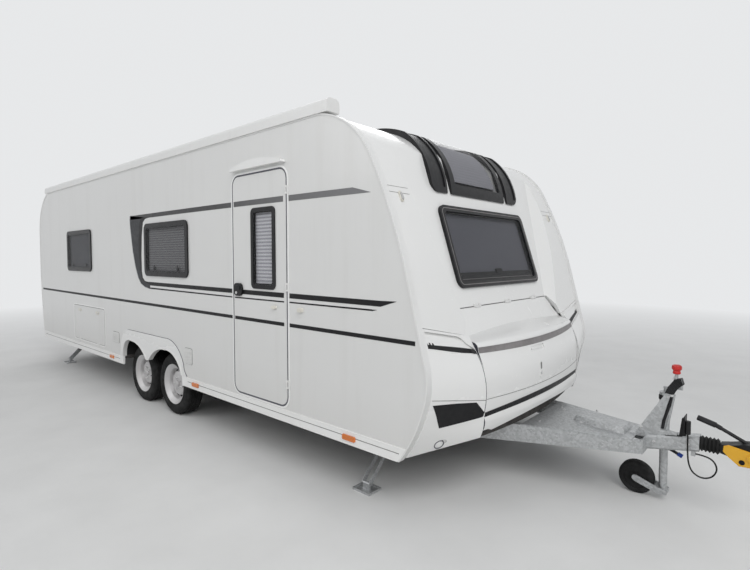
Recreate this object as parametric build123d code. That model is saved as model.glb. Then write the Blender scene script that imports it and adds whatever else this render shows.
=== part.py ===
from build123d import *
import math
import os

# Travel caravan with twin axles, parked on its wheels, its jockey wheel and its corner steadies.
# Millimetres. +X points forward to the coupling, +Y to the left side, +Z up, ground at z = 0.
# All pieces are drawn from a datum at the foot of the side wall's front edge (x = 0)
# and moved at the end so that the whole caravan is centred on the origin.

os.makedirs("parts", exist_ok=True)

# Driving dimensions of the body
body_width = 2500.0          # over the side walls
wall = 31.0                  # sandwich side wall, roof and end panels
lid_wall = 22.0              # moulded front lid and corner modules
floor_thick = 40.0
floor_top = 460.0
wall_foot = 455.0            # lower edge of the side walls
skirt_foot = 365.0           # lower edge of the skirt rails
roof_height = 2455.0         # outer face of the roof
rear_x = -6905.0             # rearmost point of the side profile
rear_foot_x = -6778.0
seam = 0.5                   # joint between fixed panels
leaf_gap = 6.0               # gap round doors and lids
trim_wide = 44.0             # edge trims over the wall's front and rear edges
trim_proud = 9.0

# Wheels and axles
wheel_radius = 298.0
tyre_width = 185.0
rim_radius = 190.0
wheel_y = 1085.0
axle_x = (-2890.0, -3576.0)

# Drawbar
drawbar_top = floor_top - floor_thick
drawbar_half_at_0 = 445.0    # half width over the rails at x = 0
drawbar_taper = 0.29         # half width lost for each unit forward
drawbar_front_x = 1010.0
coupling_z = 442.0
coupling_x = 1560.0          # centre of the ball socket
coupling_nose = 62.0         # coupling head in front of the ball centre

half = body_width / 2
inner_half = half - wall
rear_proud = 15.0             # lamp carriers behind the rear panel
overall_front = coupling_x + coupling_nose
overall_rear = rear_x - rear_proud
shift_x = -(overall_front + overall_rear) / 2


# Small helpers

def block(x0, x1, y0, y1, z0, z1):
    """Box from its limits."""
    middle = Pos((x0 + x1) / 2, (y0 + y1) / 2, (z0 + z1) / 2)
    return middle * Box(abs(x1 - x0), abs(y1 - y0), abs(z1 - z0))


def path_edges(start, legs, at):
    """Edges through legs of (end) or (end, middle of arc), placed in space by at()."""
    edges = []
    here = start
    for leg in legs:
        if len(leg) == 2:
            edges.append(Line(at(*here), at(*leg)))
            here = leg
        else:
            end, mid = leg[:2], leg[2:]
            edges.append(ThreePointArc(at(*here), at(*mid), at(*end)))
            here = end
    if here != start:
        edges.append(Line(at(*here), at(*start)))
    return edges


def side_face(start, legs, y):
    """Face in a plane of constant y from an outline in x and z."""
    return Face(Wire(path_edges(start, legs, lambda a, b: (a, y, b))))


def side_prism(start, legs, y0, y1):
    """Outline in x and z, extruded from y0 to y1."""
    return extrude(side_face(start, legs, y0), amount=y1 - y0, dir=(0, 1, 0))


def front_prism(points, x0, x1):
    """Polygon in y and z, extruded from x0 to x1."""
    start, legs = points[0], points[1:]
    face = Face(Wire(path_edges(start, legs, lambda a, b: (x0, a, b))))
    return extrude(face, amount=x1 - x0, dir=(1, 0, 0))


def plan_prism(points, z0, z1):
    """Polygon in x and y, extruded from z0 to z1."""
    start, legs = points[0], points[1:]
    face = Face(Wire(path_edges(start, legs, lambda a, b: (a, b, z0))))
    return extrude(face, amount=z1 - z0, dir=(0, 0, 1))


def rounded_window(x0, x1, z0, z1, radius, y0, y1):
    """Upright rounded slab in a plane of constant y."""
    slab = block(x0, x1, y0, y1, z0, z1)
    return fillet(slab.edges().filter_by(Axis.Y), radius)


def rod(start, end, radius):
    """Round bar from one point to another."""
    axis = Vector(*end) - Vector(*start)
    plane = Plane(origin=start, z_dir=axis)
    return plane * Pos(0, 0, axis.length / 2) * Cylinder(radius, axis.length)


def mirrored(shape):
    """The same piece on the other side of the caravan."""
    return mirror(shape, about=Plane.XZ)


nodes = {}


def keep(name, *shapes):
    """Store one or more solids under a node's name."""
    solids = []
    for shape in shapes:
        solids.extend(shape.solids())
    nodes[name] = solids


# Side profile
# Columns: end x, end z, then the middle point of the arc where the stretch is round.
side_start = (rear_foot_x, skirt_foot)
front_foot_x = 5.0
shoulder_z = roof_height - 317.0     # lower end of the round at the front roof edge
window_foot_z = 1456.0
side_legs = (
    (rear_x, 1300, -6866, 868),
    (rear_x + 4, roof_height - 550),
    (-6480, roof_height, -6790, roof_height - 210),
    (-640, roof_height),
    (-204, shoulder_z, -388, roof_height - 103),
    (58, window_foot_z, -62, (shoulder_z + window_foot_z) / 2 + 25),
    (183, 968),
    (190, 733, 204, 848),
    (front_foot_x, skirt_foot, 97, 503),
)


def side_outline(inset, y0, y1):
    """Whole side profile, moved inwards by inset, as a prism."""
    face = side_face(side_start, side_legs, y0)
    if inset:
        flat = Plane(origin=(0, y0, 0), x_dir=(1, 0, 0), z_dir=(0, -1, 0))
        face = flat * offset(flat.to_local_coords(face), amount=-inset)
    solid = extrude(face, amount=y1 - y0, dir=(0, 1, 0))
    return solid


# Openings in the side walls
door_x0, door_x1 = -1657.0, -995.0
door_z0, door_z1 = 483.0, roof_height - 295.0
door_corner = 70.0
hatch_x0, hatch_x1 = -5456.0, -4405.0
hatch_z0, hatch_z1 = 505.0, 930.0
hatch_corner = 30.0
window_corner = 60.0
frame_lap = 22.0             # window frame over the edge of its hole
frame_proud = 14.0           # window frame in front of the wall
pane_thick = 6.0

# Columns: name, side (-1 right, 1 left), x0, x1, z0, z1
side_windows = (
    ("rear_right", -1, -5640, -4770, 1371, 1886),
    ("middle_right", -1, -3268, -2385, 1357, 1877),
    ("rear_left", 1, -6300, -5400, 1357, 1877),
    ("middle_left", 1, -3268, -2385, 1357, 1877),
    ("front_left", 1, -1500, -700, 1357, 1877),
)

# Wheel arches, as seen from the side: two arches with a tooth between the wheels, and the
# outer edge of the moulding round them. Columns: end x, end z, middle of arc.
arch_x0, arch_x1 = -3885.0, -2530.0
arch_foot = skirt_foot - 40
arch_top = 650.0
arch_start = (arch_x0, arch_foot)
arch_legs = (
    (arch_x0 + 15, 470),
    (-3640, arch_top, -3822, 598),
    (-3300, 512, -3452, 618),
    (-3215, 512, -3257, 496),
    (-2870, arch_top, -3063, 618),
    (arch_x1 - 15, 470, -2650, 598),
    (arch_x1, arch_foot),
)
moulding_foot = wall_foot + 2
moulding_start = (-3948, moulding_foot)
moulding_legs = (
    (-3925, 560),
    (-3680, 764, -3858, 700),
    (-2860, 764),
    (-2510, 560, -2612, 690),
    (-2450, moulding_foot, -2492, 500),
)


def side_wall(side):
    y0, y1 = (-half, -inner_half) if side < 0 else (inner_half, half)
    shape = side_outline(0, y0, y1) & block(rear_x - 50, 400, y0, y1, wall_foot, 3000)
    cut0, cut1 = y0 - 20, y1 + 20
    for name, at_side, x0, x1, z0, z1 in side_windows:
        if at_side == side:
            hole = frame_lap
            shape -= rounded_window(x0 + hole, x1 - hole, z0 + hole, z1 - hole,
                                    window_corner - hole, cut0, cut1)
    if side < 0:
        gap = leaf_gap
        shape -= rounded_window(door_x0 - gap, door_x1 + gap, door_z0 - gap, door_z1 + gap,
                                door_corner + gap, cut0, cut1)
        shape -= rounded_window(hatch_x0 - gap, hatch_x1 + gap, hatch_z0 - gap, hatch_z1 + gap,
                                hatch_corner + gap, cut0, cut1)
    shape -= side_prism(arch_start, arch_legs, cut0, cut1)
    return shape


keep("side_wall_right", side_wall(-1))
keep("side_wall_left", side_wall(1))

# Roof, rear panel and upper front panel are one ring cut where the panels meet
roof_rear_x = -6480.0
roof_front_x = -640.0
ring_half = inner_half - seam
ring = side_outline(0, -ring_half, ring_half) - side_outline(wall, -ring_half, ring_half)
ring -= block(rear_x - 50, 400, -half, half, skirt_foot - 60, floor_top + seam)
far = 400.0

roof = ring & block(roof_rear_x, roof_front_x, -half, half, 2000, roof_height + far)
keep("roof", roof)

# Rear panel with its window hole
rear_window = (-600.0, 600.0, 1357.0, 1877.0)      # y0, y1, z0, z1
rear = ring & block(rear_x - 50, roof_rear_x - seam, -half, half, 0, roof_height + far)
ry0, ry1, rz0, rz1 = rear_window
rear_hole = block(rear_x - 60, rear_x + 80, ry0 + frame_lap, ry1 - frame_lap,
                  rz0 + frame_lap, rz1 - frame_lap)
rear -= fillet(rear_hole.edges().filter_by(Axis.X), window_corner - frame_lap)
keep("rear_panel", rear)

# Upper front panel: pillars on the side profile and a recessed window wall between them.
# The recess wall is a plane through two points given as x and z.
recess_low = (53.0, 1208.0)
hood_z_low = roof_height - 465.0      # lower edge of the skylight hood
recess_high = (-195.0, hood_z_low)
recess_run = (recess_low[0] - recess_high[0]) / (recess_high[1] - recess_low[1])
crease_low, crease_high = 770.0, 1005.0    # half width of the crease at the two heights
base_low, base_high = 690.0, 915.0         # half width of the recess wall at the two heights
lid_top_z = recess_low[1]
pillar_foot_out, pillar_foot_in = 1155.0, 1056.0
lid_half = 776.0
pillar_foot_y = lid_half + leaf_gap


def recess_x(z, inset=0.0):
    """x of the recess wall at height z, moved back by inset."""
    lean = math.hypot(1.0, recess_run)
    return recess_low[0] - (z - recess_low[1]) * recess_run - inset * lean


def recess_cutter(inset):
    """Space in front of the recess wall; inset moves its walls back and out."""
    z_low, z_high = lid_top_z - 228, roof_height + 25
    rows = []
    for lift, low, high in ((0.0, base_low, base_high), (72.0, crease_low, crease_high)):
        grow = (high - low) / (recess_high[1] - recess_low[1])
        rows.append((lift, low + (z_low - lid_top_z) * grow, low + (z_high - lid_top_z) * grow))
    reach = 300.0
    (lift0, low0, high0), (lift1, low1, high1) = rows
    per = reach / (lift1 - lift0)
    front = (low0 + (low1 - low0) * per, high0 + (high1 - high0) * per)
    back_face = Polyline(
        (recess_x(z_low, inset), -low0 - inset, z_low),
        (recess_x(z_low, inset), low0 + inset, z_low),
        (recess_x(z_high, inset), high0 + inset, z_high),
        (recess_x(z_high, inset), -high0 - inset, z_high),
        close=True)
    front_face = Polyline(
        (recess_x(z_low) + reach, -front[0] - inset, z_low),
        (recess_x(z_low) + reach, front[0] + inset, z_low),
        (recess_x(z_high) + reach, front[1] + inset, z_high),
        (recess_x(z_high) + reach, -front[1] - inset, z_high),
        close=True)
    return Solid.make_loft([Wire(back_face.edges()), Wire(front_face.edges())], True)


front_zone = block(roof_front_x + seam, 500, -half, half, 900, roof_height + far)
front_outer = side_outline(0, -ring_half, ring_half) - recess_cutter(0)
front_inner = side_outline(wall, -ring_half - 1, ring_half + 1) - recess_cutter(wall)
front = (front_outer - front_inner) & front_zone
below_pillars = (
    (-half, 300), (-half, pillar_foot_out), (-pillar_foot_y, pillar_foot_in),
    (-base_low - 14, lid_top_z), (base_low + 14, lid_top_z),
    (pillar_foot_y, pillar_foot_in), (half, pillar_foot_out), (half, 300),
)
front -= front_prism(below_pillars, -250, 500)
front = front.solids().sort_by(SortBy.VOLUME)[-1]

# Front window, in the plane of the recess wall
window_mid_z = 1611.0
window_high = 590.0
window_wide = 1250.0
recess_angle = math.degrees(math.atan(recess_run))
window_plane = Plane(origin=(recess_x(window_mid_z), 0, window_mid_z), x_dir=(0, 1, 0),
                     z_dir=(math.cos(math.radians(recess_angle)), 0,
                            math.sin(math.radians(recess_angle))))


def slab_on(plane, wide, high, corner, back, proud):
    """Rounded slab on a plane, from back behind it to proud in front."""
    face = RectangleRounded(wide, high, corner)
    return plane * extrude(Pos(0, 0, -back) * face, amount=back + proud)


def frame_on(plane, wide, high, corner, lap, back, proud):
    """Window frame: a lip in front of the wall round the hole and a rim down into it."""
    lip = slab_on(plane, wide, high, corner, -seam, proud)
    rim = slab_on(plane, wide - 2 * lap - 2, high - 2 * lap - 2, corner - lap, back, proud)
    hole = slab_on(plane, wide - 4 * lap, high - 4 * lap, corner - lap, back + 1, proud + 1)
    return lip + rim - hole


def pane_on(plane, wide, high, corner, lap, set_back):
    """Pane in its frame, held 0.5 mm inside the frame's inner faces."""
    return slab_on(plane, wide - 4 * lap - 1, high - 4 * lap - 1, corner - lap - 0.5,
                   set_back + pane_thick, -set_back)


front -= slab_on(window_plane, window_wide - 2 * frame_lap, window_high - 2 * frame_lap,
                 window_corner - frame_lap, wall * 3, wall * 3)

# Panoramic skylight in the round of the front roof
hood_half = 640.0
hood_foot_x = recess_high[0] + 12     # outer face of the hood at its lower edge

# Outer curve of the hood in x and z. Columns: end x, end z, middle of arc
hood_start = (-300.0, hood_z_low)
hood_legs = (
    (hood_foot_x, hood_z_low),
    (-428, roof_height - 25, -260, roof_height - 212),
    (-760, roof_height + 40, -586, roof_height + 24),
    (-790, roof_height - 15),
)
hood_skin = 10.0


def band_outside(out, y0, y1):
    """Band that follows the side profile on its outside, out mm thick."""
    flat = Plane(origin=(0, y0, 0), x_dir=(1, 0, 0), z_dir=(0, -1, 0))
    big = flat * offset(flat.to_local_coords(side_face(side_start, side_legs, y0)), amount=out)
    solid = extrude(big, amount=y1 - y0, dir=(0, 1, 0))
    return solid - side_outline(0, y0 - 1, y1 + 1)


skylight_half = 350.0
skylight_z = roof_height - 395.0
skylight_x = -700.0
above = roof_height + 250
skylight_hole = block(skylight_x, 0, -skylight_half, skylight_half, skylight_z, above)
front -= skylight_hole

keep("front_panel", front)

# Window frames and panes of the sides, rear and front
frames = []
panes = []
for name, side, x0, x1, z0, z1 in side_windows:
    face_plane = Plane(origin=((x0 + x1) / 2, side * half, (z0 + z1) / 2),
                       x_dir=(1, 0, 0), z_dir=(0, side, 0))
    frames.append(frame_on(face_plane, x1 - x0, z1 - z0, window_corner, frame_lap,
                           wall, frame_proud))
    panes.append(pane_on(face_plane, x1 - x0, z1 - z0, window_corner, frame_lap, 2))
rear_plane = Plane(origin=(rear_x, 0, (rz0 + rz1) / 2), x_dir=(0, 1, 0), z_dir=(-1, 0, 0))
frames.append(frame_on(window_plane, window_wide, window_high, window_corner, frame_lap,
                       wall, frame_proud + 8))
panes.append(pane_on(window_plane, window_wide, window_high, window_corner, frame_lap, 2))
frames.append(frame_on(rear_plane, ry1 - ry0, rz1 - rz0, window_corner, frame_lap,
                       wall, frame_proud))
panes.append(pane_on(rear_plane, ry1 - ry0, rz1 - rz0, window_corner, frame_lap, 2))
keep("window_frames", *frames)

# Floor with wheel cut-outs, wheel boxes above them
box_y0 = 940.0               # inner wall of the wheel boxes
box_top = 720.0
floor_front = 30.0
locker_floor_x = 300.0
floor = block(rear_foot_x + 40, floor_front, -ring_half, ring_half, floor_top - floor_thick, floor_top)
floor += plan_prism(((floor_front, -lid_half + 6), (locker_floor_x - 70, -lid_half + 6),
                     (locker_floor_x - 70, lid_half - 6, locker_floor_x, 0),
                     (floor_front, lid_half - 6)), floor_top - floor_thick, floor_top)
box_cut = []
boxes = []
for side in (-1, 1):
    y_in, y_out = side * box_y0, side * ring_half
    hole = block(arch_x0 - 10, arch_x1 + 10, y_in, side * (half + 5), 300, 600)
    box_cut.append(hole)
    shell = block(arch_x0 - 22, arch_x1 + 22, y_in - side * 12, y_out, floor_top + seam, box_top)
    shell -= block(arch_x0 - 10, arch_x1 + 10, y_in, y_out + side, floor_top - 5, box_top - 12)
    boxes.append(shell)
for hole in box_cut:
    floor -= hole
keep("floor", floor)
keep("wheel_boxes", *boxes)

# Bulkhead behind the gas locker and the shelf over it
bulk_x = -300.0
bulk_wall = 25.0
shelf_z = lid_top_z + 14
bulk = block(bulk_x, bulk_x + bulk_wall, -ring_half, ring_half, floor_top + seam, shelf_z + bulk_wall)
shelf_x = recess_x(shelf_z + bulk_wall, wall) - seam
bulk += block(bulk_x, shelf_x, -base_low, base_low, shelf_z, shelf_z + bulk_wall)
keep("locker_bulkhead", bulk)

# Gas locker lid: a revolved bow for its lower part and a flat panel towards the window
nose_radius = 4316.0         # plan radius of the bow
nose_x = 375.0               # foremost point of the bow, on the centre line
lid_foot = 458.0
bow_axis = Axis((nose_x - nose_radius, 0, 0), (0, 0, 1))
# Columns: x, z, then middle of arc
bow_start = (0.0, lid_foot)
bow_legs = (
    (348, lid_foot),
    (374, 548, 367, 500),
    (364, 575),
    (nose_x, 700, 374, 640),
    (354, 890, 374, 800),
    (322, 972),
    (296, 1016, 314, 1003),
    (0, 1105),
)


def bow(inset):
    """Revolved bow of the nose, moved inwards by inset."""
    face = side_face(bow_start, bow_legs, 0)
    if inset:
        flat = Plane(origin=(0, 0, 0), x_dir=(1, 0, 0), z_dir=(0, -1, 0))
        face = flat * offset(flat.to_local_coords(face), amount=-inset)
    spread = 16.0
    solid = revolve(face, axis=bow_axis, revolution_arc=2 * spread)
    return solid.rotate(bow_axis, -spread)


def lid_panel(inset):
    """Flat upper panel of the lid, from the hinge down into the bow."""
    front_edge = (250.0, 860.0)
    shape = side_prism((-200, lid_foot), (
        (front_edge[0] - inset, lid_foot), (front_edge[0] - inset, front_edge[1]),
        (recess_low[0] - inset, lid_top_z), (-200, lid_top_z)), -half, half)
    return shape


lid_sides = (
    (-lid_half, lid_foot - 20), (-lid_half, pillar_foot_in - 4),
    (-base_low - 5, lid_top_z - leaf_gap), (base_low + 5, lid_top_z - leaf_gap),
    (lid_half, pillar_foot_in - 4), (lid_half, lid_foot - 20),
)
lid = (bow(0) + lid_panel(0)) - (bow(lid_wall) + lid_panel(lid_wall))
lid &= front_prism(lid_sides, -20, 500)
lid -= block(-300, -5, -half, half, lid_foot - 30, lid_top_z + 100)
lid -= block(-300, 300, -half, half, lid_foot - 5, lid_foot + 30)
# Its lower edge rises towards the centre line
lid_rise = 56.0
lid -= front_prism(((-lid_half - 30, lid_foot), (lid_half + 30, lid_foot, 0, lid_foot + lid_rise),
                    (lid_half + 30, lid_foot - 60), (-lid_half - 30, lid_foot - 60)), -20, 500)
lid = lid.solids().sort_by(SortBy.VOLUME)[-1]
lid_pivot = (recess_low[0] + 9.0, lid_top_z - leaf_gap / 2)     # x, z
lid_axis = Axis((lid_pivot[0], 0, lid_pivot[1]), (0, 1, 0))
# The lid's top corners are bevelled, so that they pass the panel's edge as the lid swings up.
# Columns: half width, radius of the bevel about the hinge
swing_rows = ((694.0, 14.0), (714.0, 56.0), (744.0, 132.0), (lid_half + 6, 192.0))
swing_legs = [(y, lid_pivot[1] - radius) for y, radius in swing_rows]
swing_legs.append((swing_rows[-1][0], lid_pivot[1]))
swing_face = Face(Wire(path_edges((swing_rows[0][0], lid_pivot[1]), swing_legs,
                                  lambda a, b: (lid_pivot[0], a, b))))
swing = revolve(swing_face, axis=lid_axis)
lid = (lid - swing - mirrored(swing)).solids().sort_by(SortBy.VOLUME)[-1]
pin_r, barrel_r, pin_fit = 3.0, 5.0, 0.05

# Handle recess with its grip, and the drop-shaped lock plate below it
handle_y, handle_mid_z, handle_half, handle_high = -120.0, 912.0, 110.0, 34.0
recess_deep = 10.0
handle_plane = Plane(origin=(nose_x - 31.3, handle_y, handle_mid_z), x_dir=(0, 1, 0), z_dir=(82, 0, 32))
lid -= handle_plane * extrude(Pos(0, 0, -recess_deep) * RectangleRounded(2 * handle_half, handle_high, 12),
                              amount=recess_deep + 20)
lid += handle_plane * extrude(Pos(0, 0, -recess_deep - 4) * RectangleRounded(2 * handle_half - 50, 12, 5),
                              amount=recess_deep + 2)
lock_mid_z, lock_long, lock_wide, lock_proud = 766.0, 120.0, 36.0, 5.0
lock_plane = Plane(origin=(nose_x - 4, handle_y - 4, lock_mid_z), x_dir=(0, 1, 0), z_dir=(1, 0, 0.05))
lid += lock_plane * extrude(Pos(0, 0, -14) * SlotOverall(lock_long, lock_wide, rotation=90),
                            amount=14 + lock_proud)
lid_hinge_y = (-450.0, 0.0, 450.0)
hinges = []
for y in lid_hinge_y:
    arm = block(lid_pivot[0] - 12, lid_pivot[0], y - 19, y + 19, lid_pivot[1] - 19, lid_pivot[1])
    arm += rod((lid_pivot[0], y - 19, lid_pivot[1]), (lid_pivot[0], y + 19, lid_pivot[1]), barrel_r)
    arm -= rod((lid_pivot[0], y - 30, lid_pivot[1]), (lid_pivot[0], y + 30, lid_pivot[1]), pin_r + pin_fit)
    lid += arm
    pin = rod((lid_pivot[0], y - 40, lid_pivot[1]), (lid_pivot[0], y + 40, lid_pivot[1]), pin_r)
    for y0, y1 in ((y - 40, y - 20), (y + 20, y + 40)):
        pin += rod((lid_pivot[0], y0, lid_pivot[1]), (lid_pivot[0], y1, lid_pivot[1]), barrel_r)
        pin += block(recess_low[0] + seam, lid_pivot[0], y0, y1, lid_pivot[1], lid_top_z + 15)
    hinges.append(pin)
keep("gas_locker_lid", lid)

# Corner modules of the nose, lofted from the lid's seam to the side wall's edge.
# Columns: seam x, seam z, edge x, edge z, and the same again for the middle of the arc
module_in = lid_half + leaf_gap
module_out = half - 2.0
module_rows = (
    ((258, 940, 190, 950), None),
    ((318, 735, 202, 835), (300, 845, 200, 893)),
    ((300, 580, 168, 660), (314, 655, 191, 746)),
    ((298, 540, 108, 524), None),
    ((272, 440, 12, 375), (290, 488, 62, 448)),
)
module_top = ((165, 1095), (139, 1150))


def module_section(column, y, inset):
    """Closed section of a corner module at one y; column 0 is the seam, 1 the edge."""
    def pick(row):
        return (row[2 * column] - inset, row[2 * column + 1])
    top = (module_top[column][0] - inset, module_top[column][1] - inset)
    back = -150.0
    foot = pick(module_rows[-1][0])
    legs = [top]
    for end, mid in module_rows:
        if mid is None:
            legs.append(pick(end))
        else:
            legs.append(pick(end) + pick(mid))
    legs.append((back, foot[1]))
    return Wire(path_edges((back, top[1]), legs, lambda a, b: (a, y, b)))


def corner_module(inset, y_in, y_out):
    return Solid.make_loft([module_section(0, y_in, inset), module_section(1, y_out, inset)], True)


module = corner_module(0, -module_in, -module_out) - corner_module(lid_wall, -module_in + 5, -module_out - 5)
above_module = lid_top_z + 100
module -= block(-200, 20, -half - 10, -module_in + 10, 300, above_module)
module -= block(-200, 400, -half - 10, -half + trim_wide + seam, 300, above_module)
module -= front_prism(((-half - 5, above_module), (-half - 5, pillar_foot_out - 2),
                       (-pillar_foot_y, pillar_foot_in - 2), (-pillar_foot_y + 60, pillar_foot_in - 2),
                       (-pillar_foot_y + 60, above_module)), -250, 500)
# Three-cornered pocket under the pillar and a small oval recess near the foot
pocket_deep, oval_deep = 13.0, 11.0
pocket_rim = 8.0
pocket = front_prism(((-half + trim_wide + 16, 1024), (-half + trim_wide + 16, 1124), (-905, 1066),
                      (-866, 1050), (-840, 1020), (-module_in - pocket_rim, 982),
                      (-module_in - pocket_rim, 950), (-1000, 982)), 20, 500)
module -= pocket - corner_module(pocket_deep, -module_in + 5, -module_out - 5)
oval_face = Plane(origin=(20, -1030, 452), x_dir=(0, 1, 0), z_dir=(1, 0, 0))
module -= (oval_face * extrude(Ellipse(30, 20), amount=400)
           - corner_module(oval_deep, -module_in + 5, -module_out - 5))
module = module.solids().sort_by(SortBy.VOLUME)[-1]
keep("corner_module_right", module)
keep("corner_module_left", mirrored(module))

# Skylight hood over the front round
hood_pieces = []
pane_pieces = []
hood_seat = side_outline(0, -half, half) - recess_cutter(0)
hood_corner, hood_rim, hood_sink = 70.0, 24.0, 7.0
for y0, y1 in ((-hood_half, -452.0), (-402.0, 402.0), (452.0, hood_half)):
    piece = side_prism(hood_start, hood_legs, y0, y1)
    if y1 - y0 < hood_half:
        side = 1 if y0 > 0 else -1
        outer_y = side * hood_half
        round_mid = hood_corner * (1 - math.sqrt(0.5))
        piece -= front_prism(((outer_y, hood_z_low - 5), (outer_y, hood_z_low + hood_corner),
                              (outer_y - side * hood_corner, hood_z_low, outer_y - side * round_mid,
                               hood_z_low + round_mid), (outer_y - side * hood_corner, hood_z_low - 5)),
                             -800, 100)
        sunk = side_prism(hood_start, hood_legs, y0 + hood_rim, y1 - hood_rim)
        sunk -= Pos(-hood_sink, 0, -hood_sink) * side_prism(hood_start, hood_legs, y0, y1)
        piece -= sunk & block(-740, 100, y0, y1, hood_z_low + hood_rim + 18, roof_height + far)
    piece -= hood_seat
    piece = piece.solids().sort_by(SortBy.VOLUME)[-1]
    hood_pieces.append(piece)
glass_half = skylight_half - 8
glass_z = skylight_z + 10
hood_pieces[1] -= block(skylight_x, 0, -glass_half, glass_half, glass_z, above)
outer_skin = side_prism(hood_start, hood_legs, -hood_half, hood_half)
inner_skin = Pos(-hood_skin, 0, -hood_skin) * outer_skin
glass = (outer_skin - inner_skin) & block(skylight_x + seam, 0, -glass_half + seam, glass_half - seam,
                                          glass_z + seam, above)
keep("skylight_hood", *hood_pieces)
panes.append(glass.solids().sort_by(SortBy.VOLUME)[-1])
keep("window_panes", *panes)

# Entry door: hinged at its front edge, opens outwards
door_proud = 3.0
door_pivot = (door_x1 + leaf_gap / 2, -half - 9.0)               # x, y
door_pin_r, door_barrel_r = 3.5, 6.0
leaf_half, hinge_half = 16.0, 30.0                               # heights of the knuckles
door_hinge_z = (640.0, 1330.0, door_z1 - 150)
door = rounded_window(door_x0, door_x1, door_z0, door_z1, door_corner,
                      -half - door_proud, -inner_half)
dw_x0, dw_x1, dw_z0, dw_z1 = -1412.0, -1114.0, 1305.0, 1908.0
dw_corner = 40.0
door -= rounded_window(dw_x0 + 15, dw_x1 - 15, dw_z0 + 15, dw_z1 - 15, dw_corner - 15,
                       -half - 30, -inner_half + 30)
for z in door_hinge_z:
    leaf = block(door_pivot[0] - 28, door_pivot[0], door_pivot[1] + 3, -half - door_proud + 1,
                 z - leaf_half, z + leaf_half)
    leaf += Pos(*door_pivot, z) * Cylinder(door_barrel_r, 2 * leaf_half)
    door += leaf - Pos(*door_pivot, z) * Cylinder(door_pin_r + pin_fit, 80)
    pin = Pos(*door_pivot, z) * Cylinder(door_pin_r, 2 * hinge_half)
    pin += block(door_pivot[0] + 8, door_pivot[0] + 28, door_pivot[1] + 4, -half - 0.3,
                 z - hinge_half, z + hinge_half)
    for z0, z1 in ((z - hinge_half, z - leaf_half - 1), (z + leaf_half + 1, z + hinge_half)):
        pin += Pos(*door_pivot, (z0 + z1) / 2) * Cylinder(door_barrel_r, z1 - z0)
        pin += block(door_pivot[0], door_pivot[0] + 9, door_pivot[1] + 4, -half - 0.3, z0, z1)
    hinges.append(pin)
keep("door_panel", door)
door_plane = Plane(origin=((dw_x0 + dw_x1) / 2, -half - door_proud, (dw_z0 + dw_z1) / 2),
                   x_dir=(1, 0, 0), z_dir=(0, -1, 0))
keep("door_window_frame", frame_on(door_plane, dw_x1 - dw_x0, dw_z1 - dw_z0, dw_corner, 15, wall, 8))
keep("door_window_pane", pane_on(door_plane, dw_x1 - dw_x0, dw_z1 - dw_z0, dw_corner, 15, 2))
handle_x, handle_z = -1584.0, 1290.0
handle = Plane(origin=(handle_x, -half - door_proud - seam, handle_z), x_dir=(1, 0, 0),
               z_dir=(0, -1, 0)) * extrude(RectangleRounded(110, 100, 40), amount=16)
keep("door_handle", handle)

# Service hatch, hinged at its lower edge
hatch = rounded_window(hatch_x0, hatch_x1, hatch_z0, hatch_z1, hatch_corner,
                       -half - 2, -half + 22)
hatch_rim, hatch_proud = 24.0, 5.0
rim_edge = rounded_window(hatch_x0, hatch_x1, hatch_z0, hatch_z1, hatch_corner, -half - hatch_proud, -half)
hatch += rim_edge - rounded_window(hatch_x0 + hatch_rim, hatch_x1 - hatch_rim, hatch_z0 + hatch_rim,
                                   hatch_z1 - hatch_rim, hatch_corner - 12, -half - 20, -half + 1)
hatch_pivot = (-half - 6.0, hatch_z0 - leaf_gap / 2)              # y, z
for x in (hatch_x0 + 200, hatch_x1 - 200):
    arm = block(x - 19, x + 19, hatch_pivot[0] - 1, -half - 1, hatch_pivot[1], hatch_pivot[1] + 18)
    arm += rod((x - 19, *hatch_pivot), (x + 19, *hatch_pivot), barrel_r)
    hatch -= rod((x - 42, *hatch_pivot), (x + 42, *hatch_pivot), barrel_r + 1)
    hatch += arm - rod((x - 30, *hatch_pivot), (x + 30, *hatch_pivot), pin_r + pin_fit)
    pin = rod((x - 40, *hatch_pivot), (x + 40, *hatch_pivot), pin_r)
    for x0, x1 in ((x - 40, x - 20), (x + 20, x + 40)):
        pin += rod((x0, *hatch_pivot), (x1, *hatch_pivot), barrel_r)
        pin += block(x0, x1, hatch_pivot[0], -half - 0.3, hatch_pivot[1] - 16, hatch_pivot[1] - 1)
    hinges.append(pin)
keep("service_hatch", hatch)
keep("hinge_pins", *hinges)

# Skirt rails under the walls, cut by the arches
skirt_thick = 14.0
rails = []
for side in (-1, 1):
    y0, y1 = sorted((side * (half + 5), side * (half - skirt_thick)))
    rail = side_outline(0, y0, y1) & block(rear_x, 300, y0, y1, 0, wall_foot - seam)
    rail -= side_prism(arch_start, arch_legs, y0 - 10, y1 + 10)
    rails.append(rail)
keep("skirt_rails", *rails)

# Wheel arch mouldings
arch_proud = 10.0
arch_roll, arch_roll_proud = 15.0, 14.0      # width and height of the rolled edge round the arches
mouldings = []
for side in (-1, 1):
    y0, y1 = sorted((side * (half + seam), side * (half + arch_proud)))
    lip = side_prism(moulding_start, moulding_legs, y0, y1)
    roll_y = sorted((side * (half + seam), side * (half + arch_roll_proud)))
    flat = Plane(origin=(0, roll_y[0], 0), x_dir=(1, 0, 0), z_dir=(0, -1, 0))
    arch_face = flat.to_local_coords(side_face(arch_start, arch_legs, roll_y[0]))
    roll = extrude(flat * offset(arch_face, amount=arch_roll), amount=roll_y[1] - roll_y[0], dir=(0, 1, 0))
    lip += roll & block(arch_x0 - 50, arch_x1 + 50, *roll_y, moulding_foot, 900)
    lip -= side_prism(arch_start, arch_legs, y0 - 15, y1 + 15)
    mouldings.append(lip)
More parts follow.
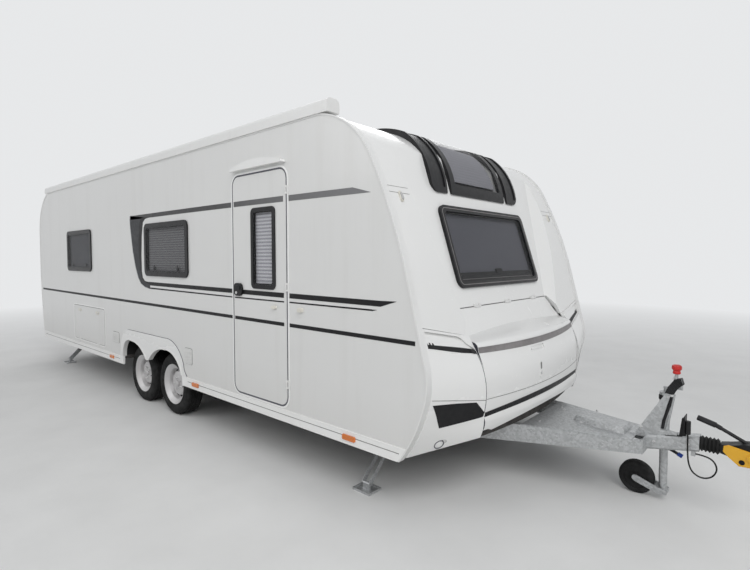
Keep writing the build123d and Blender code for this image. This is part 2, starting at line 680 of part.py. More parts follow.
# Drip moulding over the door, highest in its middle
canopy_x0, canopy_x1, canopy_z = door_x0 + 8, door_x1 - 3, door_z1 + 42
canopy = side_prism((canopy_x0, canopy_z), (
    (canopy_x1, canopy_z), (canopy_x1 - 12, canopy_z + 18), (canopy_x0 + 12, canopy_z + 18,
                            (canopy_x0 + canopy_x1) / 2, canopy_z + 62)), -half - 38, -half - seam)
mouldings.append(canopy)
keep("side_mouldings", *mouldings)

# Edge trims over the joints between side walls and end panels
trims = []
for side in (-1, 1):
    y0, y1 = sorted((side * (half + 4), side * (half - trim_wide)))
    band = band_outside(trim_proud, y0, y1)
    band -= block(rear_x - 100, 400, y0 - 5, y1 + 5, skirt_foot - 100, skirt_foot + 1)
    trims.append(band)
keep("edge_trims", *trims)

# Awning cassette along the right roof edge
awning_x0, awning_x1 = rear_x + 345, -560.0
awning_foot = roof_height + trim_proud + seam
awning = block(awning_x0, awning_x1, -half - 12, -half + 100, awning_foot, awning_foot + 90)
awning = fillet(awning.edges().filter_by(Axis.X).group_by(Axis.Z)[-1], 38)
keep("awning_cassette", awning)

# Rooflights
lights = []
# Columns: x, y, length, width
rooflights = ((-1900, 0, 500, 700), (-3700, 0, 960, 655), (-5600, 0, 400, 400))
for x, y, long, wide in rooflights:
    base = Pos(x, y, roof_height + seam + 12) * Box(long, wide, 24)
    dome = Pos(x, y, roof_height + seam + 24 + 25) * Box(long - 50, wide - 50, 50)
    dome = fillet(dome.edges().group_by(Axis.Z)[-1] + dome.edges().filter_by(Axis.Z), 24)
    lights.append(base + dome)
keep("rooflights", *lights)

# Rear lamp carriers
carriers = []
for side in (-1, 1):
    y0, y1 = sorted((side * (half - trim_wide - 1), side * (half - trim_wide - 256)))
    carriers.append(block(overall_rear, rear_x + 110, y0, y1, 620, 1180) - ring
                    - block(rear_x + 20, rear_x + 400, y0 - 5, y1 + 5, 0, 2000))
carriers = [c.solids().sort_by(Axis.X)[0] for c in carriers]
lens_r, groove_wide, groove_deep = 78.0, 6.0, 6.0
lens_y = half - trim_wide - 128.0
for index, side in enumerate((-1, 1)):
    for z in (715.0, 900.0, 1085.0):
        centre = (overall_rear - 5, side * lens_y, z)
        deep = (overall_rear + groove_deep, side * lens_y, z)
        carriers[index] -= rod(centre, deep, lens_r + groove_wide) - rod(centre, deep, lens_r)
keep("rear_lamps", *carriers)

# Chassis: main rails under the floor, axles, swing arms
rail_y = 620.0
rail_high = 85.0
rail_wide = 50.0
sheet = 4.0
main_front_x = -600.0
chassis = []
for side in (-1, 1):
    y_in, y_out = side * (rail_y - rail_wide), side * rail_y
    top = floor_top - floor_thick
    rail = block(-5900, main_front_x, y_in, y_out, top - rail_high, top - seam)
    rail -= block(-6000, main_front_x + 10, y_in - side, y_out - side * sheet,
                  top - rail_high + sheet, top - seam - sheet)
    chassis.append(rail)

axle_tube_r = 42.0
axle_z = wheel_radius
tube_half = wheel_y - tyre_width / 2 - 60
axle_drop = 14.0             # torsion tube below the wheel centre
trail_arm = 165.0            # torsion tube ahead of the wheel centre
drum_r = 125.0
drum_y = wheel_y - 52
hub_bore = 24.0
axles = []
for x in axle_x:
    tube_z = axle_z - axle_drop
    axle = rod((x + trail_arm, -tube_half, tube_z), (x + trail_arm, tube_half, tube_z), axle_tube_r)
    for side in (-1, 1):
        y_a, y_b = side * tube_half, side * (tube_half + 30)
        axle += block(x - 35, x + trail_arm + 50, y_a, y_b, axle_z - 60, axle_z + 35)
        axle += rod((x, y_b, axle_z), (x, side * drum_y, axle_z), drum_r)
        axle += rod((x, y_b, axle_z), (x, side * (wheel_y + 33), axle_z), hub_bore - 0.05)
        saddle = block(x + trail_arm - 60, x + trail_arm + 60, side * (rail_y - rail_wide),
                       side * rail_y, tube_z, drawbar_top - rail_high - 0.3)
        axle += saddle
    axles.append(axle)
keep("axles", *axles)

# Wheels
rim_gap = 0.4
vent_holes = 8               # holes in the wheel disc
vent_ring, vent_r = 124.0, 11.0
wheel_names = []
for axle_name, x in zip(("front", "rear"), axle_x):
    for side_name, side in (("right", -1), ("left", 1)):
        centre = Plane(origin=(x, side * wheel_y, axle_z), x_dir=(1, 0, 0), z_dir=(0, side, 0))
        w = tyre_width / 2
        tyre_face = Face(Wire(path_edges((rim_radius, -w + 18), (
            (wheel_radius - 46, -w), (wheel_radius, -w + 24), (wheel_radius, w - 24),
            (wheel_radius - 46, w), (rim_radius, w - 18)), lambda a, b: (a, 0, b))))
        tyre = centre * revolve(tyre_face, axis=Axis.Z)
        inner = rim_radius - rim_gap
        rim_face = Face(Wire(path_edges((hub_bore, 34), (
            (108, 34), (142, 10), (152, w - 42), (rim_radius - 4, w - 15.5),
            (rim_radius + 6, w - 11), (rim_radius + 6, w - 14.6), (inner, w - 17.6),
            (inner, -w + 18.5), (inner - 10, -w + 18.5), (146, -w + 46),
            (146, 2), (106, 27), (hub_bore, 27)), lambda a, b: (a, 0, b))))
        rim = revolve(rim_face, axis=Axis.Z)
        for k in range(vent_holes):
            rim -= Rot(0, 0, 360 * k / vent_holes) * Pos(vent_ring, 0, 20) * Cylinder(vent_r, 60)
        rim = centre * rim
        name = axle_name + "_" + side_name
        wheel_names.append(name)
        keep("tyre_" + name, tyre)
        keep("rim_" + name, rim)

# Drawbar: two tapered channel rails from the main rails to the overrun housing
rail_rear_x = main_front_x + seam
# Lower edge of a rail. Columns: x, z
rail_foot = ((drawbar_front_x, 345.0), (100.0, 292.0), (-300.0, 292.0), (rail_rear_x, 335.0))


def drawbar_y(x):
    """Outer half width of the drawbar at x."""
    return drawbar_half_at_0 - drawbar_taper * x


def drawbar_strip(side, out, wide):
    """Upright slab along one rail, from out inside its outer face to wide further in."""
    rear_y = drawbar_y(rail_rear_x) - out
    front_y = drawbar_y(drawbar_front_x) - out
    return plan_prism(((rail_rear_x, side * rear_y), (drawbar_front_x, side * front_y),
                       (drawbar_front_x, side * (front_y - wide)),
                       (rail_rear_x, side * (rear_y - wide))), 200, drawbar_top - seam)


def rail_side(inset):
    """Side view of a rail, as a prism over the whole width."""
    top = drawbar_top - seam - inset
    legs = [(drawbar_front_x + inset, top)]
    legs += [(x, z + inset) for x, z in rail_foot]
    legs[1] = (drawbar_front_x + inset, rail_foot[0][1] + inset)
    legs[-1] = (rail_rear_x - inset, rail_foot[-1][1] + inset)
    return side_prism((rail_rear_x - inset, top), legs, -half, half)


rails = []
for side in (-1, 1):
    rail = drawbar_strip(side, 0, rail_wide) & rail_side(0)
    rail -= drawbar_strip(side, sheet, rail_wide + 10) & rail_side(sheet)
    rails.append(rail)
keep("chassis_rails", *chassis)
keep("drawbar_rails", *rails)

# Grey cover plate between the rails in front of the nose, pressed up into a long hollow hump
cover_x0, cover_x1 = 330.0, 960.0
cover_thick = 4.0
cover_top = drawbar_top + cover_thick
cover_lap = 4.0              # rail flange left bare beside the plate
hump_high, hump_lean = 34.0, 25.0
cover_half = [drawbar_y(x) - cover_lap for x in (cover_x0, cover_x1)]
cover = plan_prism(((cover_x0, -cover_half[0]), (cover_x1, -cover_half[1]),
                    (cover_x1, cover_half[1]), (cover_x0, cover_half[0])), drawbar_top, cover_top)
# Columns: x and half width of the hump's foot
hump_rows = ((560.0, 18.0), (700.0, 74.0), (905.0, 96.0))
hump_side = [(x, -y) for x, y in hump_rows]
hump_foot = make_face(Polyline(*hump_side, *[(x, -y) for x, y in reversed(hump_side)], close=True))
cover += Pos(0, 0, cover_top) * extrude(hump_foot, amount=hump_high, taper=hump_lean)
cover -= Pos(0, 0, drawbar_top) * extrude(offset(hump_foot, amount=-cover_thick), amount=hump_high,
                                          taper=hump_lean)
keep("drawbar_cover", cover)

# Overrun housing: a pressed box that narrows and rises towards the coupling
# Columns: x, half width, lower z, upper z
housing_x0, housing_x1 = 1018.0, 1290.0
housing_rows = ((housing_x0, 62.0, 352.0, 440.0), (housing_x1, 44.0, 398.0, 487.0))
housing_bevel = 12.0
free = 0.3                   # clearance of a piece that sits on another


def housing_section(x, wide, low, high):
    """Eight-sided section of the housing."""
    c = housing_bevel
    ring_points = ((-wide, low + c), (-wide, high - c), (-wide + c, high), (wide - c, high),
                   (wide, high - c), (wide, low + c), (wide - c, low), (-wide + c, low))
    return Wire(path_edges(ring_points[0], ring_points[1:], lambda a, b: (x, a, b)))


housing_box = Solid.make_loft([housing_section(*row) for row in housing_rows], True)
end_plate_half = drawbar_y(drawbar_front_x)
housing = housing_box + block(drawbar_front_x + free, drawbar_front_x + 10, -end_plate_half,
                              end_plate_half, rail_foot[0][1], cover_top + 6)
housing += block(cover_x1 - 35, housing_x0 + 4, -58, 58, cover_top + free, cover_top + 12)
# Gland under the housing where the cable goes in
gland_x, gland_y, gland_z = 1272.0, -30.0, 380.0
housing += block(gland_x - 22, gland_x, gland_y - 12, gland_y + 12, gland_z - 13, gland_z + 18)
keep("overrun_housing", housing)

# Bellows, turned about the draw bar
bellows_x0, bellows_x1 = housing_x1 + seam, 1385.0
bellows_r, bellows_valley = 46.0, 36.0
ribs = 5
pitch = (bellows_x1 - bellows_x0) / ribs
fold = [(bellows_x0, bellows_valley)]
for k in range(ribs):
    fold.append((bellows_x0 + (k + 0.5) * pitch, bellows_r))
    fold.append((bellows_x0 + (k + 1) * pitch, bellows_valley))
fold.append((bellows_x1, 0))
fold_face = Face(Wire(path_edges((bellows_x0, 0), fold, lambda a, b: (a, 0, coupling_z + b))))
keep("bellows", revolve(fold_face, axis=Axis((0, 0, coupling_z), (1, 0, 0))))

# Coupling head with its ball socket and its lever
socket_r = 25.5
head_half = 42.0
neck_r = 28.0
head_x = 1440.0              # where the head reaches its full width
head_side = side_prism((head_x - 50, coupling_z - 26), (
    (head_x + 50, coupling_z - 40), (coupling_x + 40, coupling_z - 40),
    (overall_front, coupling_z - 22), (overall_front - 4, coupling_z + 22),
    (coupling_x + 28, coupling_z + 42), (coupling_x - 62, coupling_z + 52, coupling_x - 16, coupling_z + 54),
    (head_x, coupling_z + 34), (head_x - 50, coupling_z + 26)), -head_half, head_half)
head_plan = [(head_x - 50, 30.0), (head_x, head_half), (coupling_x + 30, head_half), (overall_front, 24.0)]
head = head_side & plan_prism([(x, -y) for x, y in head_plan] + [(x, y) for x, y in reversed(head_plan)],
                              coupling_z - 60, coupling_z + 80)
head += rod((bellows_x1 + seam, 0, coupling_z), (head_x, 0, coupling_z), neck_r)
head -= Pos(coupling_x, 0, coupling_z - 40) * Cylinder(socket_r, 76)
lever_root = (coupling_x - 38, 0, coupling_z + 44)
lever_bend = (coupling_x - 194, 0, coupling_z + 121)
lever_end = (coupling_x - 288, 0, coupling_z + 149)
head += rod(lever_root, lever_bend, 10) + rod(lever_bend, lever_end, 13)
keep("coupling_head", head)

# Lock plate on the side of the coupling head
lock_y = -head_half - free
lock_plate = side_prism((head_x + 8, coupling_z + 20), (
    (head_x + 120, coupling_z + 8), (head_x + 134, coupling_z - 42),
    (head_x + 80, coupling_z - 70), (head_x + 22, coupling_z - 58)), lock_y - 8, lock_y)
lock_plate += rod((head_x + 90, lock_y - 1, coupling_z - 14), (head_x + 90, lock_y - 22, coupling_z - 14), 17)
lock_plate -= rod((head_x + 52, lock_y + 5, coupling_z - 44), (head_x + 52, lock_y - 15, coupling_z - 44), 9)
keep("hitch_lock", lock_plate)

# Holder of the parked plug on top of the housing, and the cable's plug
housing_seat = Pos(0, 0, free) * housing_box
holder_x, holder_top = 1222.0, 604.0
plug_x, plug_y, plug_foot, plug_r = 1236.0, -66.0, 500.0, 15.0
holder = block(holder_x - 4, holder_x, plug_y - 20, -10, plug_foot, holder_top)
holder += block(holder_x - 4, holder_x, -38, -10, coupling_z, plug_foot + 5)
holder += side_prism((holder_x - 38, coupling_z), (
    (holder_x - 4, coupling_z), (holder_x - 4, holder_top - 18), (holder_x - 22, holder_top - 28)), -38, -12)
holder += rod((plug_x, plug_y, plug_foot), (plug_x, plug_y, plug_foot + 76), plug_r)
keep("plug_holder", (holder - housing_seat).solids().sort_by(SortBy.VOLUME)[-1])

# Cable from the plug round under the housing. Columns: x, y, z
cable_r = 4.5
cable_route = (
    (plug_x, plug_y, plug_foot), (plug_x, plug_y, 440), (1238, -66, 380), (1243, -66, 325), (1264, -65, 276),
    (1312, -62, 254), (1361, -57, 274), (1383, -50, 322), (1364, -42, 366), (1320, gland_y, gland_z),
    (gland_x, gland_y, gland_z),
)
bend_radii = []
for before, here, after in zip(cable_route, cable_route[1:], cable_route[2:]):
    run_in = Vector(*here) - Vector(*before)
    run_out = Vector(*after) - Vector(*here)
    turn = math.radians(run_in.get_angle(run_out))
    bend_radii.append(0.45 * min(run_in.length, run_out.length) / math.tan(turn / 2))
cable_path = FilletPolyline(*cable_route, radius=bend_radii)
cable_start = Plane(origin=cable_route[0], z_dir=Vector(*cable_route[1]) - Vector(*cable_route[0]))
cable = sweep(cable_start * Circle(cable_r), path=cable_path)
keep("cable", cable)
print("cable length", cable_path.length, "radii", [round(r) for r in bend_radii],
      "volume ratio", cable.volume / (math.pi * cable_r ** 2 * cable_path.length))

# Handbrake: a pressed channel lever with a push rod and a gas strut, a grip and a round knob
hand_y0, hand_y1 = -42.0, -12.0
hand_y = (hand_y0 + hand_y1) / 2
hand_sheet = 4.0
hand_start = (950.0, coupling_z - 10)
hand_legs = ((1000, 520), (1118, 722), (1142, 716), (1100, 560), (1078, coupling_z - 10))
brake = side_prism(hand_start, hand_legs, hand_y0, hand_y1)
brake -= Pos(12, 0, 0) * side_prism(hand_start, hand_legs, hand_y0 + hand_sheet, hand_y1 - hand_sheet)
brake += side_prism((1070, coupling_z - 10), ((1070, 486), (1112, 486), (1178, 480), (1178, coupling_z - 10)),
                    hand_y0, hand_y1)
brake += rod((1086, hand_y, 480), (1128, hand_y, 706), 6)
brake += rod((1060, hand_y, 470), (1110, hand_y, 690), 9)
grip = side_prism((1112, 704), ((1126, 748), (1160, 800), (1194, 812), (1202, 782), (1166, 752), (1148, 706)),
                  hand_y0 + 1, hand_y1 - 1)
knob_x, knob_z, knob_r, knob_high = 1166.0, 838.0, 27.0, 56.0
grip += rod((knob_x, hand_y, 790), (knob_x, hand_y, knob_z - free), 9)
brake += grip
brake -= housing_seat
brake -= block(900, housing_x0 + 4 + free, -58 - free, 58 + free, drawbar_top, cover_top + 12 + free)
keep("handbrake_lever", brake.solids().sort_by(SortBy.VOLUME)[-1])
knob = Cylinder(knob_r, knob_high)
knob = chamfer(knob.edges().group_by(Axis.Z)[-1], 9)
keep("handbrake_knob", Pos(knob_x, hand_y, knob_z + knob_high / 2) * knob)

# Jockey wheel beside the housing: clamped outer tube with crank, sliding column, swivelling fork
jockey_x, jockey_y = 1085.0, 95.0
jockey_wheel_r, jockey_wheel_wide = 105.0, 60.0
trail = 150.0                # wheel behind the column
outer_r, inner_r = 30.0, 24.0
slide_fit = 0.3
tube_foot, tube_top = 330.0, 690.0
column_foot, column_top = 66.0, 560.0
tube = Pos(jockey_x, jockey_y, (tube_top + tube_foot) / 2) * Cylinder(outer_r, tube_top - tube_foot)
for z in (384.0, 436.0):
    tube += block(jockey_x - 32, jockey_x + 32, 40, jockey_y, z - 14, z + 14)
tube -= Pos(jockey_x, jockey_y, (tube_top + tube_foot) / 2 - 6) * Cylinder(
    inner_r + slide_fit, tube_top - tube_foot)
tube -= Pos(0, free, 0) * housing_box
crank_z = tube_top + 26
tube += rod((jockey_x, jockey_y, tube_top - 3), (jockey_x, jockey_y, crank_z + 8), 8)
tube += block(jockey_x - 8, jockey_x + 96, jockey_y - 8, jockey_y + 8, crank_z, crank_z + 8)
tube += rod((jockey_x + 86, jockey_y, crank_z), (jockey_x + 86, jockey_y, crank_z + 70), 11)
keep("jockey_tube", tube.solids().sort_by(SortBy.VOLUME)[-1])
column = Pos(jockey_x, jockey_y, (column_top + column_foot) / 2) * Cylinder(inner_r, column_top - column_foot)
column -= Pos(jockey_x, jockey_y, (column_top + column_foot) / 2 + 8) * Cylinder(
    inner_r - 4, column_top - column_foot)
swivel_r = 10.0
fork_plate_z0 = 46.0
column += Pos(jockey_x, jockey_y, (column_foot + fork_plate_z0) / 2 + 1) * Cylinder(
    swivel_r, column_foot - fork_plate_z0 + 2)
keep("jockey_column", column)
fork_half, fork_sheet = 44.0, 6.0
fork = block(jockey_x - 27, jockey_x + 27, jockey_y - fork_half, jockey_y + fork_half,
             fork_plate_z0, column_foot - free)
fork -= Pos(jockey_x, jockey_y, 60) * Cylinder(swivel_r + pin_fit, 80)
hub_x = jockey_x - trail
for side in (-1, 1):
    y0, y1 = sorted((jockey_y + side * fork_half, jockey_y + side * (fork_half - fork_sheet)))
    fork += side_prism((jockey_x + 27, fork_plate_z0), (
        (jockey_x + 27, 70), (jockey_x - 24, 84), (hub_x + 8, jockey_wheel_r + 20),
        (hub_x - 18, jockey_wheel_r - 8, hub_x - 16, jockey_wheel_r + 13),
        (hub_x - 4, jockey_wheel_r - 20), (jockey_x - 34, fork_plate_z0)), y0, y1)
fork += rod((hub_x, jockey_y - fork_half - 6, jockey_wheel_r),
            (hub_x, jockey_y + fork_half + 6, jockey_wheel_r), 8)
keep("jockey_fork", fork)
wheel_profile = [(8.05, -36.0), (30, -36), (30, -22), (72, -22), (72, -30), (94, -30), (jockey_wheel_r, -18)]
wheel_profile += [(r, -y) for r, y in reversed(wheel_profile)]
wheel_face = Face(Wire(path_edges(wheel_profile[0], wheel_profile[1:], lambda a, b: (a, 0, b))))
jockey_wheel = Plane(origin=(hub_x, jockey_y, jockey_wheel_r), x_dir=(1, 0, 0),
                     z_dir=(0, 1, 0)) * revolve(wheel_face, axis=Axis.Z)
keep("jockey_wheel", jockey_wheel)

# Corner steadies: bracket with spindle, leg with foot, strut
steady_pivot_y, steady_pivot_z = 720.0, 385.0
foot_y = 1060.0
foot_joint_z = 45.0
steady_x = {"front": -410.0, "rear": rear_x + 555}
leg_len = math.hypot(foot_y - steady_pivot_y, steady_pivot_z - foot_joint_z)
leg_angle = math.degrees(math.atan2(steady_pivot_z - foot_joint_z, foot_y - steady_pivot_y))
brackets = []
bracket_half = 44.0
leg_rail_y = 30.0
strut_half = 18.0
tray_high, tray_sheet = 16.0, 5.0
for end_name, x in steady_x.items():
    for side_name, side in (("right", -1), ("left", 1)):
        name = end_name + "_" + side_name
        a = (side * steady_pivot_y, steady_pivot_z)
        f = (side * foot_y, foot_joint_z)
        c = ((a[0] + f[0]) / 2, (a[1] + f[1]) / 2)
        n = (2 * c[0] - a[0], a[1])
        y_in, y_end = side * (steady_pivot_y - 35), side * (half - 22)
        bracket = block(x - bracket_half, x + bracket_half, y_in, y_end, 415.5, 419.5)
        for dx in (-1, 1):
            bracket += block(x + dx * bracket_half, x + dx * (bracket_half - 4), y_in, y_end, 365, 419.5)
        bracket += rod((x, y_in, a[1]), (x, y_end, a[1]), 9)
        for y in (y_in, y_end):
            bracket += block(x - bracket_half, x + bracket_half, y, y - side * 5, 365, 419.5)
        bracket += rod((x - bracket_half, a[0], a[1]), (x + bracket_half, a[0], a[1]), 7)
        brackets.append(bracket)
        leg = None
        for dx in (-1, 1):
            axis = Vector(0, f[0] - a[0], f[1] - a[1])
            plane = Plane(origin=(x + dx * leg_rail_y, c[0], c[1]), x_dir=(1, 0, 0), z_dir=axis)
            bar = plane * Box(5, 34, axis.length)
            bar += rod((x + dx * (leg_rail_y - 2.5), *a), (x + dx * (leg_rail_y + 2.5), *a), 17)
            leg = bar if leg is None else leg + bar
        leg += rod((x - leg_rail_y, f[0], f[1]), (x + leg_rail_y, f[0], f[1]), 12)
        leg += rod((x - leg_rail_y, c[0], c[1]), (x + leg_rail_y, c[0], c[1]), 6)
        leg += block(x - leg_rail_y, x + leg_rail_y, f[0] - 8, f[0] + 8, 3, f[1])
        tray = block(x - 75, x + 75, f[0] - 60, f[0] + 60, 0, tray_high)
        tray -= block(x - 75 + tray_sheet, x + 75 - tray_sheet, f[0] - 60 + tray_sheet,
                      f[0] + 60 - tray_sheet, tray_sheet + 1, tray_high + 5)
        leg += tray
        leg -= rod((x - bracket_half, a[0], a[1]), (x + bracket_half, a[0], a[1]), 7.05)
        keep("steady_leg_" + name, leg)
        strut = None
        axis = Vector(0, n[0] - c[0], n[1] - c[1])
        for dx in (-1, 1):
            plane = Plane(origin=(x + dx * strut_half, (n[0] + c[0]) / 2, (n[1] + c[1]) / 2),
                          x_dir=(1, 0, 0), z_dir=axis)
            bar = plane * Box(4, 22, axis.length)
            for y_, z_ in (c, n):
                bar += rod((x + dx * (strut_half - 2), y_, z_), (x + dx * (strut_half + 2), y_, z_), 13)
            strut = bar if strut is None else strut + bar
        q = (c[0] * 0.65 + n[0] * 0.35, c[1] * 0.65 + n[1] * 0.35)
        strut += rod((x - strut_half, q[0], q[1]), (x + strut_half, q[0], q[1]), 5)
        strut -= rod((x - bracket_half, c[0], c[1]), (x + bracket_half, c[0], c[1]), 6.05)
        keep("steady_strut_" + name, strut)
keep("steady_brackets", *brackets)

# Side marker lamps on the skirt rails
markers = []
for side in (-1, 1):
    for x in (-380.0, -2290.0, -4190.0):
        plane = Plane(origin=(x, side * (half + 5 + seam), 410), x_dir=(1, 0, 0), z_dir=(0, side, 0))
        markers.append(plane * extrude(RectangleRounded(110, 34, 8), amount=9))
keep("marker_lamps", *markers)

# Move every piece to the caravan's own frame and write it
for name, solids in nodes.items():
    moved = [Pos(shift_x, 0, 0) * solid for solid in solids]
    export_step(moved[0] if len(moved) == 1 else Compound(moved), "parts/" + name + ".step")

print("nodes", len(nodes), "shift", shift_x, "leg", leg_len, leg_angle)
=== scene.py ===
import math

import bmesh
import bpy
from mathutils import Matrix, Vector
from mathutils.bvhtree import BVHTree


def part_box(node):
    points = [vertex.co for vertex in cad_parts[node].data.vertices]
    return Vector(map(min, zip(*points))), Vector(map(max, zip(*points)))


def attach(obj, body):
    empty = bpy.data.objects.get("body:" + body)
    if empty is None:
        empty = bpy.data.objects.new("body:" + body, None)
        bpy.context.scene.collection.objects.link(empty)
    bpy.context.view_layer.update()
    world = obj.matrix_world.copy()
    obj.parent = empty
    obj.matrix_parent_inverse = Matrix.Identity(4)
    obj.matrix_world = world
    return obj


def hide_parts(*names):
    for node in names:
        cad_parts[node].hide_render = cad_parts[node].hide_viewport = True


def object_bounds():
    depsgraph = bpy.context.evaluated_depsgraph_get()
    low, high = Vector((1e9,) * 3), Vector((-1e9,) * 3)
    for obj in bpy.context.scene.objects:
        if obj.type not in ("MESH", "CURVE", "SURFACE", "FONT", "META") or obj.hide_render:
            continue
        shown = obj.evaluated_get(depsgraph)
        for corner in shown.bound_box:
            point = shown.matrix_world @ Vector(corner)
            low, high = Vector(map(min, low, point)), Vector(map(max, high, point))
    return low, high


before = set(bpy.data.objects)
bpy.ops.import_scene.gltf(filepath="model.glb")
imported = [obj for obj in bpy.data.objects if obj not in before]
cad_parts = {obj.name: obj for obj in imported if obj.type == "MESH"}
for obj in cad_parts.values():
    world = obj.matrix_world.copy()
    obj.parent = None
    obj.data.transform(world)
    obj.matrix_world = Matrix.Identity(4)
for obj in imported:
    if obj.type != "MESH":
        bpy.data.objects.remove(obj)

# Travel caravan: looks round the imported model, in metres. +X forward, +Y left, +Z up.
# Measured places are given from the datum at the foot of the side wall's front edge.

cad_low, cad_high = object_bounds()
wall_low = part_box("side_wall_right")[0]
HALF = -wall_low.y            # from the centre line to the face of a side wall
WALL_LONG = 6.905
DATUM_X = wall_low.x + WALL_LONG
FRAME_PROUD = 0.008           # the door window's frame over the face of the door
DOOR_FACE = -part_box("door_window_frame")[0].y - FRAME_PROUD
STICKER, THIN_STICKER = 0.0008, 0.0004
RIGHT, LEFT = -1, 1
SIDES = ((RIGHT, "right"), (LEFT, "left"))


def at(x):
    """x measured from the datum, in the shared frame."""
    return x + DATUM_X


# Materials

UNIT = (1.0, 1.0, 1.0)
ROAD_DUST = (0.42, 0.40, 0.36)
BRAKE_DUST = (0.16, 0.13, 0.11)
WORN_STEEL = (0.25, 0.12, 0.05)
RUST = (0.20, 0.10, 0.05)
PLASTIC_GLOSS, GLASS_GLOSS = 0.22, 0.5
COAT_ROUGH = 0.08
ZINC_METALLIC = 0.60
VINYL_ROUGH, VINYL_GRAIN, VINYL_FADING = 0.45, 0.03, 0.10
CRYSTALS, FLUTES = 85.0, 220.0      # texture scales of the zinc and of the lamp lenses' painted flute light and shade


def new_material(name):
    mat = bpy.data.materials.new(name)
    mat.use_nodes = True
    tree = mat.node_tree
    return mat, tree, tree.nodes["Principled BSDF"]


def feed(node, values):
    """Fills inputs of a node with plain values, or links the outputs of other nodes to them."""
    for key, value in values.items():
        if isinstance(value, bpy.types.NodeSocket):
            node.id_data.links.new(value, node.inputs[key])
        else:
            node.inputs[key].default_value = value


def add_node(tree, kind, values, output):
    """Adds a node with its inputs and gives one of its outputs."""
    node = tree.nodes.new(kind)
    feed(node, values)
    return node.outputs[output]


def calculate(tree, operation, first, second, clamp=False):
    node = tree.nodes.new("ShaderNodeMath")
    node.operation = operation
    node.use_clamp = clamp
    feed(node, {0: first, 1: second})
    return node.outputs["Value"]


def coordinates(tree, scale=UNIT):
    place = add_node(tree, "ShaderNodeTexCoord", {}, "Object")
    return add_node(tree, "ShaderNodeMapping", {"Vector": place, "Scale": scale}, "Vector")


def along(tree, axis, scale=UNIT):
    """One coordinate of the object."""
    return add_node(tree, "ShaderNodeSeparateXYZ", {"Vector": coordinates(tree, scale)}, axis)


def noise(tree, scale, detail, rough=0.55, stretch=UNIT):
    values = {"Vector": coordinates(tree, stretch), "Scale": scale, "Detail": detail, "Roughness": rough}
    return add_node(tree, "ShaderNodeTexNoise", values, "Fac")


def spread(tree, value, low, high, out_low, out_high):
    """Maps low to high of a value onto out_low to out_high, clamped."""
    values = {"Value": value, "From Min": low, "From Max": high, "To Min": out_low, "To Max": out_high}
    return add_node(tree, "ShaderNodeMapRange", values, "Result")


def mix_color(tree, factor, first, second):
    """Mixes two colours, each a plain one or an output. The colour inputs are numbers 6 and 7."""
    node = tree.nodes.new("ShaderNodeMix")
    node.data_type = "RGBA"
    first, second = [(*value, 1.0) if isinstance(value, tuple) else value for value in (first, second)]
    feed(node, {0: factor, 6: first, 7: second})
    return node.outputs[2]


def add_bump(tree, shader, height, strength, distance):
    values = {"Height": height, "Strength": strength, "Distance": distance}
    feed(shader, {"Normal": add_node(tree, "ShaderNodeBump", values, "Normal")})


def add_grain(tree, shader, rough, grain):
    """Fine grain, and a roughness that varies a little."""
    patches = noise(tree, 30.0, 4.0)
    feed(shader, {"Roughness": spread(tree, patches, 0.3, 0.7, rough - 0.06, rough + 0.10)})
    add_bump(tree, shader, noise(tree, 900.0, 2.0), grain, 0.0006)


def paint(name, color, rough, grime, coat, dirt=ROAD_DUST, metal=0.0, streaks=1.0):
    """Gloss paint with faint cloudiness, rain streaks and road dust near the ground."""
    mat, tree, shader = new_material(name)
    cloud = spread(tree, noise(tree, 1.7, 5.0), 0.35, 0.7, 0.0, 0.35 * grime)
    rain = noise(tree, 9.0, 6.0, 0.65, (1.0, 1.0, 0.07))
    total = spread(tree, rain, 0.52, 0.78, 0.0, 1.2 * grime * streaks)
    speck = spread(tree, noise(tree, 60.0, 2.0), 0.70, 0.78, 0.0, 1.0 * grime)
    splash = spread(tree, along(tree, "Z"), 0.75, 0.30, 0.0, 2.2 * grime)
    for part in (cloud, speck, splash):
        total = calculate(tree, "ADD", total, part, True)
    feed(shader, {"Metallic": metal, "Coat Weight": coat, "Coat Roughness": COAT_ROUGH,
                  "Base Color": mix_color(tree, total, color, dirt),
                  "Roughness": spread(tree, total, 0.0, 0.4, rough, rough + 0.25)})
    add_bump(tree, shader, noise(tree, 240.0, 2.0), 0.04, 0.001)
    return mat


def plastic(name, color, rough, grain, fading, coat=0.0):
    """Moulded plastic or rubber with fine grain and slight fading."""
    mat, tree, shader = new_material(name)
    lighter = tuple(min(1.0, c * (1 + 3 * fading) + 0.02 * fading) for c in color)
    faded = spread(tree, noise(tree, 14.0, 6.0), 0.35, 0.75, 0.0, 1.0)
    feed(shader, {"Specular IOR Level": PLASTIC_GLOSS, "Coat Weight": coat,
                  "Base Color": mix_color(tree, faded, color, lighter)})
    add_grain(tree, shader, rough, grain)
    return mat


def vinyl(name, color):
    return plastic(name, color, VINYL_ROUGH, VINYL_GRAIN, VINYL_FADING)


def faded_vinyl(name, rows):
    """Vinyl stripe that changes its grey along the caravan. Columns of rows: x, grey."""
    mat, tree, shader = new_material(name)
    low, high = rows[0][0], rows[-1][0]
    ramp = tree.nodes.new("ShaderNodeValToRGB")
    stops = ramp.color_ramp.elements
    while len(stops) < len(rows):
        stops.new(0.5)
    for stop, (x, grey) in zip(stops, rows):
        stop.position = (x - low) / (high - low)
        stop.color = (grey, grey, grey * 1.03, 1.0)
    feed(ramp, {"Fac": spread(tree, along(tree, "X"), at(low), at(high), 0.0, 1.0)})
    feed(shader, {"Base Color": ramp.outputs["Color"]})
    add_grain(tree, shader, VINYL_ROUGH, VINYL_GRAIN)
    return mat


